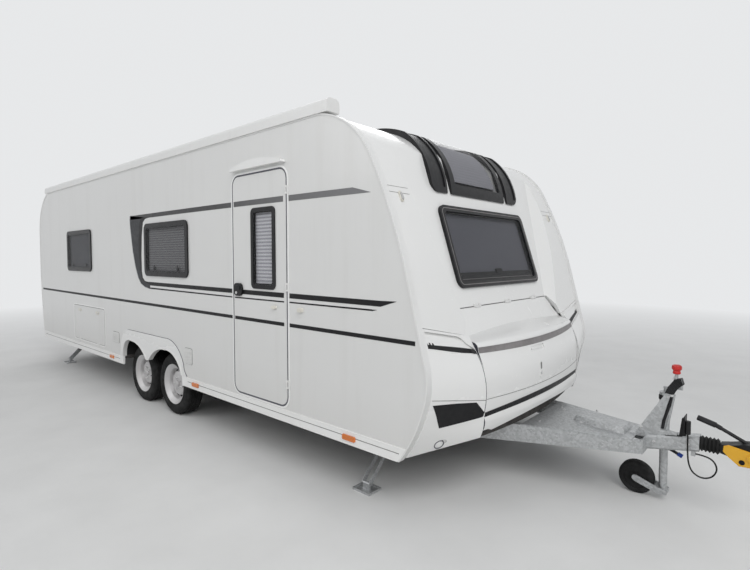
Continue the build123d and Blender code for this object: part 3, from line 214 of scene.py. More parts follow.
def galvanised(name, color, rough):
    """Hot dip zinc: flat crystals of slightly different tone, dull patches and a few rust specks."""
    mat, tree, shader = new_material(name)
    values = {"Vector": coordinates(tree), "Scale": CRYSTALS}
    tones = tree.nodes.new("ShaderNodeSeparateColor")
    feed(tones, {"Color": add_node(tree, "ShaderNodeTexVoronoi", values, "Color")})
    darker = tuple(c * 0.80 for c in color)
    lighter = tuple(min(1.0, c * 1.16) for c in color)
    spangle = mix_color(tree, tones.outputs["Red"], darker, lighter)
    patches = spread(tree, noise(tree, 6.0, 6.0), 0.4, 0.7, 0.0, 0.35)
    dulled = mix_color(tree, patches, spangle, tuple(c * 0.85 for c in color))
    rust = spread(tree, noise(tree, 34.0, 6.0, 0.7), 0.70, 0.78, 0.0, 0.6)
    feed(shader, {"Metallic": ZINC_METALLIC, "Base Color": mix_color(tree, rust, dulled, RUST),
                  "Roughness": spread(tree, tones.outputs["Green"], 0.0, 1.0, rough - 0.1, rough + 0.15)})
    add_bump(tree, shader, noise(tree, 70.0, 5.0), 0.15, 0.001)
    return mat


def tinted(name, color, alpha):
    """Tinted acrylic that the blind behind it shows through."""
    mat, tree, shader = new_material(name)
    feed(shader, {"Base Color": (*color, 1.0), "Alpha": alpha, "Specular IOR Level": GLASS_GLOSS,
                  "Roughness": spread(tree, noise(tree, 5.0, 5.0), 0.3, 0.7, 0.03, 0.12)})
    return mat


def pleated(name, color, dark, pitch):
    """Pleated blind on a flat sheet: its level folds of cloth are painted shade, a darker band in each fold.
    """
    mat, tree, shader = new_material(name)
    weave = spread(tree, noise(tree, 350.0, 2.0), 0.3, 0.7, 0.0, 0.5)
    # Painted shade of the folds: each pleat runs from the blind's colour to the darker shade colour, in steps
    # up the height
    fold = calculate(tree, "PINGPONG", along(tree, "Z", (1.0, 1.0, 1.0 / pitch)), 0.5)
    fold_shaded = mix_color(tree, spread(tree, fold, 0.0, 0.5, 0.0, 1.0), color, dark)
    feed(shader, {"Roughness": 0.85, "Base Color": mix_color(tree, weave, fold_shaded, color)})
    return mat


def lens(name, color):
    """Moulded lamp lens whose fine upright flutes are painted light and shade, bands of a darker copy of its
    colour.
    """
    mat, tree, shader = new_material(name)
    values = {"Vector": coordinates(tree), "Scale": FLUTES, "Distortion": 0.0}
    # Painted light and shade of the flutes: upright bands between the colour and a darker copy of it
    flute_shading = add_node(tree, "ShaderNodeTexWave", values, "Fac")
    darker = tuple(c * 0.55 for c in color)
    feed(shader, {"Coat Weight": 0.6, "Roughness": 0.2,
                  "Base Color": mix_color(tree, flute_shading, darker, color)})
    return mat


# After the colour, paint has roughness, grime and coat, and plastic has roughness, grain and fading
WALL = paint("wall_paint", (0.70, 0.70, 0.690), 0.30, 0.08, 0.25)
MOULDED = paint("moulded_gelcoat", (0.80, 0.80, 0.790), 0.26, 0.05, 0.3, streaks=0.25)
TRIM = paint("trim_aluminium", (0.76, 0.76, 0.75), 0.34, 0.08, 0.15)
LIGHT_TRIM = paint("light_trim", (0.86, 0.86, 0.85), 0.30, 0.05, 0.2)
RIM = paint("rim_silver", (0.74, 0.74, 0.75), 0.30, 0.14, 0.3, BRAKE_DUST, 0.55)
YELLOW = paint("yellow_paint", (0.80, 0.43, 0.012), 0.35, 0.10, 0.2, WORN_STEEL)
BLACK_VINYL = vinyl("black_vinyl", (0.008, 0.008, 0.009))
DARK_VINYL = vinyl("anthracite_vinyl", (0.030, 0.031, 0.035))
EDGE_VINYL = vinyl("light_edge_vinyl", (0.38, 0.38, 0.39))
STEEL_VINYL = vinyl("silver_grey_vinyl", (0.20, 0.19, 0.19))
GREY_VINYL = faded_vinyl("grey_vinyl", ((-3.3, 0.028), (-1.9, 0.036), (-1.5, 0.085), (-0.2, 0.180)))
BLACK_PLASTIC = plastic("black_moulding", (0.010, 0.010, 0.011), 0.34, 0.08, 0.20)
RUBBER = plastic("black_rubber", (0.010, 0.010, 0.010), 0.66, 0.35, 0.30)
SEAL_DARK = plastic("dark_seal", (0.030, 0.031, 0.040), 0.60, 0.20, 0.20)
SEAL_GREY = plastic("grey_seal", (0.085, 0.086, 0.100), 0.60, 0.20, 0.20)
SEAM_GREY = plastic("panel_gap", (0.16, 0.16, 0.155), 0.60, 0.05, 0.20)
# Painted shade: near black laid on as thin pieces where sipes, slots and holes are, for the shade inside them
CUT_SHADE = plastic("cut_shade_black", (0.006, 0.006, 0.006), 0.80, 0.05, 0.20)
TYRE = plastic("tyre_rubber", (0.010, 0.010, 0.010), 0.85, 0.40, 0.50)
BLUE = plastic("blue_plastic", (0.020, 0.050, 0.260), 0.40, 0.10, 0.15)
STEEL_BLACK = plastic("black_steel", (0.011, 0.011, 0.012), 0.46, 0.15, 0.30)
BOARD = plastic("floor_board", (0.045, 0.042, 0.040), 0.75, 0.40, 0.30)
RED = plastic("red_plastic", (0.42, 0.022, 0.018), 0.35, 0.08, 0.20, 0.2)
OFF_WHITE = plastic("off_white_plastic", (0.68, 0.66, 0.60), 0.40, 0.10, 0.05)
GALVANISED = galvanised("galvanised_steel", (0.47, 0.48, 0.485), 0.42)
ZINC = galvanised("zinc_plated", (0.62, 0.62, 0.62), 0.35)
GLASS = tinted("tinted_acrylic", (0.010, 0.011, 0.013), 0.16)
CLEAR_GLASS = tinted("clear_acrylic", (0.030, 0.031, 0.034), 0.05)
BLIND = pleated("pleated_blind", (0.62, 0.62, 0.64), (0.20, 0.20, 0.22), 0.022)
REAR_BLIND = pleated("rear_blind", (0.17, 0.175, 0.205), (0.12, 0.125, 0.15), 0.020)
FRONT_BLIND = pleated("front_blind", (0.30, 0.305, 0.36), (0.25, 0.255, 0.305), 0.020)
ROOF_BLIND = pleated("roof_blind", (0.40, 0.40, 0.44), (0.33, 0.33, 0.365), 0.024)
DOOR_BLIND = pleated("door_blind", (0.88, 0.88, 0.93), (0.20, 0.20, 0.24), 0.026)
ORANGE_LENS = lens("orange_lens", (0.80, 0.20, 0.015))
RED_LENS = lens("red_lens", (0.42, 0.010, 0.008))
CLEAR_LENS = lens("clear_lens", (0.62, 0.62, 0.62))

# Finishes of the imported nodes: material, starts of their names. The first match counts, and nodes
# without one are moulded shell
NODE_FINISH = (
    (WALL, ("side_wall", "door_panel", "service_hatch", "roof")),
    (TRIM, ("edge_trims", "awning_cassette", "hinge_pins")),
    (LIGHT_TRIM, ("skirt_rails",)),
    (BLACK_PLASTIC, ("window_frames", "door_window_frame", "skylight_hood", "door_handle")),
    (GLASS, ("window_panes",)),
    (CLEAR_GLASS, ("door_window_pane",)),
    (BOARD, ("floor", "locker_bulkhead")),
    (RUBBER, ("wheel_boxes", "bellows", "cable")),
    (RED_LENS, ("rear_lamps",)),
    (ORANGE_LENS, ("marker_lamps",)),
    (STEEL_BLACK, ("coupling_head", "plug_holder")),
    (RED, ("handbrake_knob",)),
    (YELLOW, ("hitch_lock",)),
    (TYRE, ("jockey_wheel", "tyre")),
    (RIM, ("rim",)),
    (GALVANISED, ("chassis_rails", "axles", "drawbar", "overrun_housing", "handbrake_lever", "jockey",
                  "steady")),
)
SMOOTH_ANGLE = math.radians(28)
WELD_DISTANCE = 0.00002


def set_material(obj, mat):
    obj.data.materials.clear()
    obj.data.materials.append(mat)


def shade_smooth(obj):
    for polygon in obj.data.polygons:
        polygon.use_smooth = True
    split = obj.modifiers.new("split", "EDGE_SPLIT")
    split.split_angle = SMOOTH_ANGLE


for node_name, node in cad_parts.items():
    finish = next((mat for mat, starts in NODE_FINISH if node_name.startswith(starts)), MOULDED)
    set_material(node, finish)
    weld = node.modifiers.new("weld", "WELD")
    weld.merge_threshold = WELD_DISTANCE
    shade_smooth(node)


# Mesh helpers

SAME_PLACE = 1e-6


def make_object(name, mesh, mat, body="caravan", smooth=False):
    if isinstance(mesh, bmesh.types.BMesh):
        bm, mesh = mesh, bpy.data.meshes.new(name)
        bmesh.ops.recalc_face_normals(bm, faces=bm.faces)
        bm.to_mesh(mesh)
        bm.free()
    obj = bpy.data.objects.new(name, mesh)
    bpy.context.scene.collection.objects.link(obj)
    set_material(obj, mat)
    if smooth:
        shade_smooth(obj)
    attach(obj, body)
    return obj


def quads(bm, first, second, closed=True):
    """Faces between two rows of vertices with the same number."""
    for i in range(len(first) if closed else len(first) - 1):
        j = (i + 1) % len(first)
        bm.faces.new((first[i], first[j], second[j], second[i]))


def quads_round(bm, rows, closed=True):
    """Faces between each row and the next one, and between the last and the first."""
    for first, second in zip(rows, rows[1:] + rows[:1]):
        quads(bm, first, second, closed)


def band(name, lower, upper, place, mat, body="caravan", thick=STICKER, rows=1):
    """Sticker between two rows of (u, v) points; place(u, v, lift) gives the point in space."""
    bm = bmesh.new()
    foot, top = [[[bm.verts.new(place(u0 + (u1 - u0) * r / rows, v0 + (v1 - v0) * r / rows, lift))
                   for (u0, v0), (u1, v1) in zip(lower, upper)] for r in range(rows + 1)]
                 for lift in (0.0, thick)]
    for r in range(rows):
        quads(bm, top[r], top[r + 1], closed=False)
        quads(bm, foot[r + 1], foot[r], closed=False)
        for end in (0, -1):
            bm.faces.new((foot[r][end], top[r][end], top[r + 1][end], foot[r + 1][end]))
    quads(bm, foot[0], top[0], closed=False)
    quads(bm, top[-1], foot[-1], closed=False)
    bmesh.ops.remove_doubles(bm, verts=bm.verts, dist=SAME_PLACE)
    return make_object(name, bm, mat, body)


def rows_between(start, end, count, low, high):
    """Two rows of points from start to end, with their heights from low and high."""
    places = [start + (end - start) * k / count for k in range(count + 1)]
    return [(p, low(p)) for p in places], [(p, high(p)) for p in places]


def rounded(wide, high, corner, steps=6):
    """Outline of a rectangle with round corners."""
    points = []
    for cx, cy, start in ((1, 1, 0), (-1, 1, 90), (-1, -1, 180), (1, -1, 270)):
        for k in range(steps + 1):
            angle = math.radians(start + 90 * k / steps)
            points.append((cx * (wide / 2 - corner) + corner * math.cos(angle),
                           cy * (high / 2 - corner) + corner * math.sin(angle)))
    return points


def plane_matrix(origin, x_axis, normal):
    z = Vector(normal).normalized()
    x = Vector(x_axis).normalized()
    y = z.cross(x)
    return Matrix.Translation(origin) @ Matrix((x, y, z)).transposed().to_4x4()


def moved(matrix, x=0.0, y=0.0, z=0.0):
    return matrix @ Matrix.Translation((x, y, z))


def upright(x, y, z=0.0):
    """Matrix at a place, x from the datum, with its z upwards."""
    return Matrix.Translation((at(x), y, z))


def slab(name, outline, depth, matrix, mat, body="caravan", bevel=0.0, smooth=False):
    """Plate with an outline in its own plane, from 0 to depth along its normal, edge rounded."""
    bm = bmesh.new()
    low = [bm.verts.new((x, y, 0.0)) for x, y in outline]
    high = [bm.verts.new((x, y, depth)) for x, y in outline]
    bm.faces.new(low[::-1])
    top = bm.faces.new(high)
    quads(bm, low, high)
    if bevel:
        bmesh.ops.bevel(bm, geom=list(top.edges), offset=bevel, segments=2, affect="EDGES")
    bm.transform(matrix)
    return make_object(name, bm, mat, body, smooth)


def ring_plate(name, outer, inner, depth, matrix, mat, body="caravan"):
    """Flat ring between two outlines with the same number of points."""
    bm = bmesh.new()
    quads_round(bm, [[bm.verts.new((x, y, z)) for x, y in outline]
                     for outline, z in ((outer, 0.0), (outer, depth), (inner, depth), (inner, 0.0))])
    bm.transform(matrix)
    return make_object(name, bm, mat, body)


def lathe(name, profile, matrix, mat, body="caravan", segments=24, smooth=True):
    """Closed profile of (radius, height) turned round its Z axis."""
    bm = bmesh.new()
    rings = []
    for k in range(segments):
        turn = 2 * math.pi * k / segments
        rings.append([bm.verts.new((r * math.cos(turn), r * math.sin(turn), z)) for r, z in profile])
    quads_round(bm, rings)
    bmesh.ops.remove_doubles(bm, verts=bm.verts, dist=SAME_PLACE)
    bm.transform(matrix)
    return make_object(name, bm, mat, body, smooth)


def bent_bar(name, kind, points, diameter, sides):
    """Curve object with a round section, through points or along them."""
    curve = bpy.data.curves.new(name, "CURVE")
    curve.dimensions = "3D"
    spline = curve.splines.new(kind)
    spline.points.add(len(points) - 1)
    for target, point in zip(spline.points, points):
        target.co = (*point, 1.0)
    curve.bevel_depth = diameter / 2
    curve.bevel_resolution = sides
    curve.use_fill_caps = True
    obj = bpy.data.objects.new(name, curve)
    bpy.context.scene.collection.objects.link(obj)
    return obj, curve, spline


def tube(name, points, radius, mat, sides=3):
    """Round bar from point to point, x from the datum."""
    points = [(at(x), y, z) for x, y, z in points]
    holder, _, _ = bent_bar(name + "_curve", "POLY", points, 2 * radius, sides)
    bpy.context.view_layer.update()
    mesh = bpy.data.meshes.new_from_object(holder.evaluated_get(bpy.context.evaluated_depsgraph_get()))
    bpy.data.objects.remove(holder)
    mesh.name = name
    return make_object(name, mesh, mat, smooth=True)


# Camera at the photo's viewpoint

CAMERA_PLACE = Vector((at(1.7293), -3.3836, 1.5359))
CAMERA_YAW = math.radians(41.6143)
CAMERA_DOWN = math.radians(2.5097)
CAMERA_ROLL = math.radians(-0.0733)
FOCAL_PIXELS = 485.66
PHOTO_WIDE, PHOTO_HIGH = 750, 570
CENTRE_ROW = 279.0
SENSOR = 36.0
VIEW_END = 300.0


def add_camera():
    data = bpy.data.cameras.new("camera")
    data.sensor_width = SENSOR
    data.sensor_fit = "HORIZONTAL"
    data.lens = FOCAL_PIXELS / PHOTO_WIDE * SENSOR
    data.shift_y = (CENTRE_ROW - PHOTO_HIGH / 2) / PHOTO_WIDE
    data.clip_end = VIEW_END
    camera = bpy.data.objects.new("camera", data)
    bpy.context.scene.collection.objects.link(camera)
    forward = Vector((-math.sin(CAMERA_YAW) * math.cos(CAMERA_DOWN),
                      math.cos(CAMERA_YAW) * math.cos(CAMERA_DOWN), -math.sin(CAMERA_DOWN)))
    level = Vector((math.cos(CAMERA_YAW), math.sin(CAMERA_YAW), 0.0))
    rise = level.cross(forward)
    right = level * math.cos(CAMERA_ROLL) + rise * math.sin(CAMERA_ROLL)
    up = rise * math.cos(CAMERA_ROLL) - level * math.sin(CAMERA_ROLL)
    turn = Matrix((right, up, -forward)).transposed().to_4x4()
    camera.matrix_world = Matrix.Translation(CAMERA_PLACE) @ turn
    bpy.context.scene.camera = camera


add_camera()


# Seven core cable from the parked plug, in one hanging loop, to the gland under the housing

CABLE_DIAMETER, CABLE_LENGTH = 0.009, 0.519
CABLE_ROUTE = (
    (1.236, -0.066, 0.500), (1.236, -0.066, 0.440), (1.238, -0.066, 0.380), (1.243, -0.066, 0.325),
    (1.264, -0.065, 0.276), (1.312, -0.062, 0.254), (1.361, -0.057, 0.274), (1.383, -0.050, 0.322),
    (1.364, -0.042, 0.366), (1.320, -0.030, 0.380), (1.272, -0.030, 0.380),
)


def add_cable():
    route = [(at(x), y, z) for x, y, z in CABLE_ROUTE]
    cable, curve, spline = bent_bar("loop_cable", "NURBS", route, CABLE_DIAMETER, 4)
    curve.resolution_u = 24
    spline.order_u = 3
    spline.use_endpoint_u = True
    set_material(cable, RUBBER)
    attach(cable, "caravan")
    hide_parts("cable")


add_cable()


# Stripes of the side walls

DOOR = (-1.657, -0.995, 0.483, 2.160)       # x0, x1, z0, z1
DOOR_FRAME_CLEAR = 0.03                     # stripes on the wall, from the door's edges
LEAF_REAR_CLEAR, LEAF_FRONT_CLEAR = 0.012, 0.028
STRIPE_STEP = 0.2
STRIPE_REAR, STRIPE_FRONT = -6.82, 0.13
LOW_STRIPE_FRONT, LOW_STRIPE_REAR = (0.142, 1.061), (-6.815, 1.0825)
LOW_STRIPE_SLOPE = ((LOW_STRIPE_REAR[1] - LOW_STRIPE_FRONT[1])
                    / (LOW_STRIPE_REAR[0] - LOW_STRIPE_FRONT[0]))
LOW_STRIPE_HALF = 0.013
BEND_X, CURVE_X = -1.69, -3.2               # where the thin stripe bends and the upper one starts to fall
BLOCK_FRONT = -3.175
# Block behind the middle window, from its top. Columns: x and z of its outer, then of its inner edge
BLOCK = (
    (-3.620, 1.976, BLOCK_FRONT, 1.937), (-3.627, 1.940, -3.262, 1.929), (-3.623, 1.880, -3.312, 1.895),
    (-3.597, 1.745, -3.345, 1.765), (-3.564, 1.600, -3.362, 1.560), (-3.505, 1.440, -3.360, 1.400),
    (-3.442, 1.330, -3.340, 1.335), (-3.385, 1.277, -3.290, 1.303), (-3.295, 1.244, -3.225, 1.2965),
    (BLOCK_FRONT, 1.2275, BLOCK_FRONT, 1.2969),
)
BLOCK_DARK_FROM = 0.72                      # share of the block's width where it turns black
BLOCK_EDGE = (0.010, 0.004)
# Pointed tips at the front ends. Columns: name, material, lower row, upper row
STRIPE_TIPS = (
    ("middle", BLACK_VINYL, ((-0.123, 1.2497), (-0.002, 1.286)), ((-0.123, 1.2847), (-0.002, 1.287))),
    ("upper", GREY_VINYL, ((-0.345, 1.9222), (-0.199, 1.921)), ((-0.345, 1.9631), (-0.199, 1.9225))),
    ("thin", BLACK_VINYL, ((-0.19, 1.219), (-0.15, 1.2285)), ((-0.19, 1.229), (-0.15, 1.229))),
)


def side_place(side, face=HALF):
    """Points on a flat side wall, u = x from the datum, v = height."""
    def place(u, v, lift):
        return (at(u), side * (face + 0.0002 + lift), v)
    return place


def low_stripe_z(x):
    """Centre line of the long lower stripe."""
    return LOW_STRIPE_FRONT[1] + (x - LOW_STRIPE_FRONT[0]) * LOW_STRIPE_SLOPE


def side_stripe(side, name, x0, x1, low, high, mat=BLACK_VINYL):
    """One stripe from x0 to x1, broken at the door on the right side."""
    spans = [(x0, x1, "caravan", HALF)]
    if side == RIGHT and x0 < DOOR[0] and x1 > DOOR[1]:
        spans = [(x0, DOOR[0] - DOOR_FRAME_CLEAR, "caravan", HALF),
                 (DOOR[0] + LEAF_REAR_CLEAR, DOOR[1] - LEAF_FRONT_CLEAR, "entry_door", DOOR_FACE),
                 (DOOR[1] + DOOR_FRAME_CLEAR, x1, "caravan", HALF)]
    for letter, (start, end, body, face) in zip("abc", spans):
        rows = rows_between(start, end, max(1, round((end - start) / STRIPE_STEP)), low, high)
        band(f"stripe_{name}_{letter}", *rows, side_place(side, face), mat, body)


def side_stripes(side, tag):
    side_stripe(side, "low_" + tag, STRIPE_REAR, STRIPE_FRONT,
                lambda x: low_stripe_z(x) - LOW_STRIPE_HALF, lambda x: low_stripe_z(x) + LOW_STRIPE_HALF)
    side_stripe(side, "middle_" + tag, BLOCK_FRONT, -0.123,
                lambda x: 1.256 - 0.004 * (x - BEND_X), lambda x: 1.291 - 0.004 * (x - BEND_X))
    side_stripe(side, "thin_" + tag, BLOCK_FRONT, -0.19, lambda x: 1.220 - 0.005 * min(0.0, x - BEND_X),
                lambda x: 1.230 - 0.008 * min(0.0, x - BEND_X))
    side_stripe(side, "upper_" + tag, -3.615, -0.345,
                lambda x: 1.9365 - 0.00105 * max(0.0, x - CURVE_X) ** 2.5,
                lambda x: 1.9765 - 0.00095 * max(0.0, x - CURVE_X) ** 2.5, GREY_VINYL)
    place = side_place(side)
    for name, mat, lower, upper in STRIPE_TIPS:
        band(f"stripe_{name}_tip_{tag}", lower, upper, place, mat)
    # Anthracite block behind the middle window: wide at its top, it curves into the stripes below
    outer = [(x, z) for x, z, _, _ in BLOCK]
    inner = [(x, z) for _, _, x, z in BLOCK]
    band("stripe_block_" + tag, outer, inner, place, DARK_VINYL)
    shade = [(x0 + (x1 - x0) * BLOCK_DARK_FROM, z0 + (z1 - z0) * BLOCK_DARK_FROM) for x0, z0, x1, z1 in BLOCK]
    band("stripe_block_dark_" + tag, shade, inner, side_place(side, HALF + STICKER), BLACK_VINYL,
         thick=THIN_STICKER)
    halo = [(x - BLOCK_EDGE[0], z - BLOCK_EDGE[1]) for x, z in outer]
    band("stripe_block_edge_" + tag, halo, outer, place, EDGE_VINYL)


for which, which_tag in SIDES:
    side_stripes(which, which_tag)


# Windows: blind behind each pane, printed black edge, latches

PANE_LAP = 0.044              # frame round the pane, from the opening's edge
PRINT_WIDE = 0.010            # printed edge of a pane
REAR_ROOM_X = -4.5            # windows further back have dark blinds
# Columns: name, side, x0, x1, z0, z1
SIDE_WINDOWS = (
    ("rear_right", RIGHT, -5.640, -4.770, 1.371, 1.886),
    ("middle_right", RIGHT, -3.268, -2.385, 1.357, 1.877),
    ("rear_left", LEFT, -6.300, -5.400, 1.357, 1.877),
    ("middle_left", LEFT, -3.268, -2.385, 1.357, 1.877),
    ("front_left", LEFT, -1.500, -0.700, 1.357, 1.877),
)
LATCH_KNOB = ((0.0, 0.0), (0.018, 0.0), (0.018, 0.005), (0.013, 0.009), (0.0, 0.009))


def side_matrix(x, z, side, face=HALF):
    """Matrix on a side wall, x from the datum, with its z outwards."""
    return plane_matrix((at(x), side * face, z), (1, 0, 0), (0, side, 0))


def wall_spot(side, x0, x1, z0, z1, face=HALF):
    """Middle of a rectangle on a side wall as a matrix, with its width and height."""
    return side_matrix((x0 + x1) / 2, (z0 + z1) / 2, side, face), x1 - x0, z1 - z0


def window_dressing(name, spot, wide, high, blind, body="caravan", glass=GLASS, latches=2,
                    lap=PANE_LAP, glazing_z=0.0095):
    """Outer pane with its black edge, latches, and the blind behind the inner pane."""
    pane = (wide - 2 * lap - 0.002, high - 2 * lap - 0.002)
    inner = rounded(*pane, 0.016)
    hole = rounded(pane[0] - 2 * PRINT_WIDE, pane[1] - 2 * PRINT_WIDE, 0.012)
    slab("blind_" + name, inner, 0.002, moved(spot, z=-0.020), blind, body)
    ring_plate("pane_edge_" + name, inner, hole, 0.0006, moved(spot, z=glazing_z - 0.0007), BLACK_PLASTIC,
               body)
    slab("glazing_" + name, inner, 0.003, moved(spot, z=glazing_z), glass, body, 0.0012)
    for k in range(latches):
        x = (k - 0.5) * 0.60 * (wide - 2 * lap)
        y = -high / 2 + lap + 0.030
        lathe(f"latch_{name}_{k}", LATCH_KNOB, moved(moved(spot, z=-0.0018), x, y), STEEL_BLACK, body)
        slab(f"latch_arm_{name}_{k}", rounded(0.012, 0.044, 0.004), 0.003,
             moved(moved(spot, z=0.0035), x, y + 0.014), STEEL_BLACK, body)


for name, side, *edges in SIDE_WINDOWS:
    window_dressing(name, *wall_spot(side, *edges), REAR_BLIND if edges[1] < REAR_ROOM_X else BLIND)

rear_spot = plane_matrix((at(-WALL_LONG), 0, 1.617), (0, -1, 0), (-1, 0, 0))
window_dressing("rear", rear_spot, 1.200, 0.520, REAR_BLIND)

# Front window on the recessed wall, whose foot and top are given as x and z
RECESS_LOW, RECESS_HIGH = (0.053, 1.208), (-0.195, 1.990)
FRONT_Z, FRONT_WIDE, FRONT_HIGH = 1.611, 1.250, 0.590
recess_run = (RECESS_LOW[0] - RECESS_HIGH[0]) / (RECESS_HIGH[1] - RECESS_LOW[1])
front_x = RECESS_LOW[0] - (FRONT_Z - RECESS_LOW[1]) * recess_run
front_normal = Vector((1.0, 0.0, recess_run)).normalized()
front_spot = plane_matrix((at(front_x), 0, FRONT_Z), (0, 1, 0), front_normal)
window_dressing("front", front_spot, FRONT_WIDE, FRONT_HIGH, FRONT_BLIND, latches=0, glazing_z=0.011)
# Paler ring inside the front frame: a painted highlight along the edge of the pane
ring_plate("frame_highlight_front", rounded(FRONT_WIDE - 0.036, FRONT_HIGH - 0.036, 0.044),
           rounded(FRONT_WIDE - 0.046, FRONT_HIGH - 0.046, 0.039), 0.0015,
           moved(front_spot, z=0.0218), STEEL_VINYL)
# Blind rail behind the lower edge of the front pane, with the window latch in its middle
FRONT_FOOT = -FRONT_HIGH / 2
slab("blind_rail_front", rounded(FRONT_WIDE - 0.112, 0.056, 0.006), 0.004,
     moved(front_spot, 0, FRONT_FOOT + 0.080, -0.0019), STEEL_BLACK, bevel=0.002)
slab("blind_rail_line_front", rounded(FRONT_WIDE - 0.120, 0.005, 0.002), 0.003,
     moved(front_spot, 0, FRONT_FOOT + 0.060, 0.0018), STEEL_VINYL, bevel=0.001)
slab("latch_front", rounded(0.090, 0.036, 0.008), 0.010,
     moved(front_spot, 0, FRONT_FOOT + 0.112, -0.0018), STEEL_BLACK, bevel=0.003)

# Entry door and service hatch: window blind, seals in the gaps, frame lines, handle, catches, locks
DOOR_WINDOW = (-1.412, -1.114, 1.305, 1.908)
HATCH = (-5.456, -4.405, 0.505, 0.930)
LEAF_GAP = 0.006
CATCH_Z = 1.179
window_dressing("door", *wall_spot(RIGHT, *DOOR_WINDOW, DOOR_FACE), DOOR_BLIND, "entry_door", CLEAR_GLASS,
                latches=0, lap=0.030, glazing_z=0.004)


def leaf_seal(name, spot, wide, high, corner, lip, lip_mat, frame_wide):
    """Seal in the gap round a leaf with a flat lip of the given width, and a thin frame outside it."""
    def grown(amount):
        return rounded(wide + 2 * amount, high + 2 * amount, corner + amount)

    ring_plate("seal_" + name, grown(LEAF_GAP), grown(0.0006), 0.006, moved(spot, z=-0.014), SEAL_DARK)
    ring_plate("seal_lip_" + name, grown(lip), grown(0.0012), 0.0016, moved(spot, z=0.0002), lip_mat)
    ring_plate("frame_" + name, grown(lip + frame_wide), grown(lip + 0.0002), 0.0026,
               moved(spot, z=0.0001), LIGHT_TRIM)


leaf_seal("door", *wall_spot(RIGHT, *DOOR), 0.070, 0.013, SEAL_GREY, 0.013)
leaf_seal("hatch", *wall_spot(RIGHT, *HATCH), 0.030, 0.006, SEAM_GREY, 0.014)
for k, dx in enumerate((-0.30, 0.30)):
    spot = side_matrix((HATCH[0] + HATCH[1]) / 2 + dx, HATCH[3] - 0.055, RIGHT, HALF + 0.002)
    slab(f"hatch_latch_{k}", rounded(0.090, 0.034, 0.012), 0.007, spot, OFF_WHITE, "hatch", 0.003)
    lathe(f"hatch_lock_{k}", ((0, 0.006), (0.011, 0.006), (0.011, 0.010), (0, 0.010)),
          moved(spot, 0.022), ZINC, "hatch", 20)

handle_low, handle_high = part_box("door_handle")
handle_mid = ((handle_low.x + handle_high.x) / 2, handle_low.y, (handle_low.z + handle_high.z) / 2)
handle_spot = plane_matrix(handle_mid, (1, 0, 0), (0, -1, 0))
slab("handle_paddle", rounded(0.070, 0.034, 0.015), 0.007, moved(handle_spot, 0.004, 0.014, -0.0002),
     STEEL_BLACK, "entry_door", 0.003)
lathe("handle_lock", ((0, 0), (0.011, 0), (0.011, 0.004), (0.009, 0.006), (0, 0.006)),
      moved(handle_spot, -0.016, -0.026, -0.0002), ZINC, "entry_door")
slab("door_catch", rounded(0.050, 0.024, 0.008), 0.016, side_matrix(-1.133, CATCH_Z, RIGHT, HALF + 0.003),
     OFF_WHITE, "entry_door", 0.005)
slab("wall_catch", rounded(0.046, 0.028, 0.008), 0.020, side_matrix(-0.841, CATCH_Z, RIGHT), OFF_WHITE,
     bevel=0.005)

# White vents on the side walls. Columns: name, side, x0, x1, z0, z1, louvres, louvre material
VENTS = (
    ("heater_right", RIGHT, -2.478, -2.352, 0.580, 0.721, 5, WALL),
    ("fridge_right", RIGHT, -4.157, -3.987, 0.587, 0.703, 5, WALL),
    ("fridge_low_left", LEFT, -4.900, -4.420, 0.700, 0.930, 9, SEAM_GREY),
    ("fridge_high_left", LEFT, -4.900, -4.420, 1.380, 1.610, 9, SEAM_GREY),
    ("toilet_left", LEFT, -6.050, -5.700, 0.520, 0.870, 0, WALL),
    ("bottle_left", LEFT, -1.250, -1.130, 0.640, 0.760, 4, WALL),
)
for name, side, x0, x1, z0, z1, louvres, louvre_mat in VENTS:
    spot, wide, high = wall_spot(side, x0, x1, z0, z1)
    field = high - 0.03
    ring_plate("vent_seam_" + name, rounded(wide + 0.006, high + 0.006, 0.017),
               rounded(wide - 0.002, high - 0.002, 0.013), 0.002, spot, SEAM_GREY)
    slab("vent_" + name, rounded(wide, high, 0.014), 0.006, spot, WALL, bevel=0.003)
    for k in range(louvres):
        z = (k + 0.5) / louvres * field - field / 2
        slab(f"louvre_{name}_{k}", rounded(wide - 0.026, 0.45 * field / louvres, 0.002), 0.0095,
             moved(spot, 0, z, 0.002), louvre_mat, bevel=0.0015)


# Nose: stripes, bars and locks laid on the curved panels

SKIN_CLEAR = 0.0005
AHEAD = 0.5                   # rays start this far ahead of the nose
LID_EDGE = 0.774              # from the centre line to the end of the lid


class Skin:
    """Faces of a node, for pieces that lie on them."""

    def __init__(self, name):
        bm = bmesh.new()
        bm.from_mesh(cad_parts[name].data)
        self.tree = BVHTree.FromBMesh(bm)
        bm.free()

    def front(self, y, z):
        """Place and normal where a level ray from ahead meets the panel."""
        start = Vector((cad_high.x + AHEAD, y, z))
        return self.tree.ray_cast(start, Vector((-1, 0, 0)))[:2]

    def __call__(self, y, z, lift):
        """Point over the panel. Beside its edge, the ray is tried a little nearer to the middle."""
        for share in (1.0, 0.998, 0.995, 0.990, 0.980):
            place, normal = self.front(y * share, z)
            if place is not None:
                break
        if normal.x < 0:
            normal = -normal
        return place + normal * (lift + SKIN_CLEAR)

    def outward(self, start, direction, depth):
        """Point just inside the panel that a ray from within it meets."""
        return self.tree.ray_cast(start, direction)[0] - direction * depth


lid_skin = Skin("gas_locker_lid")
module_skin = {side: Skin("corner_module_" + tag) for side, tag in SIDES}

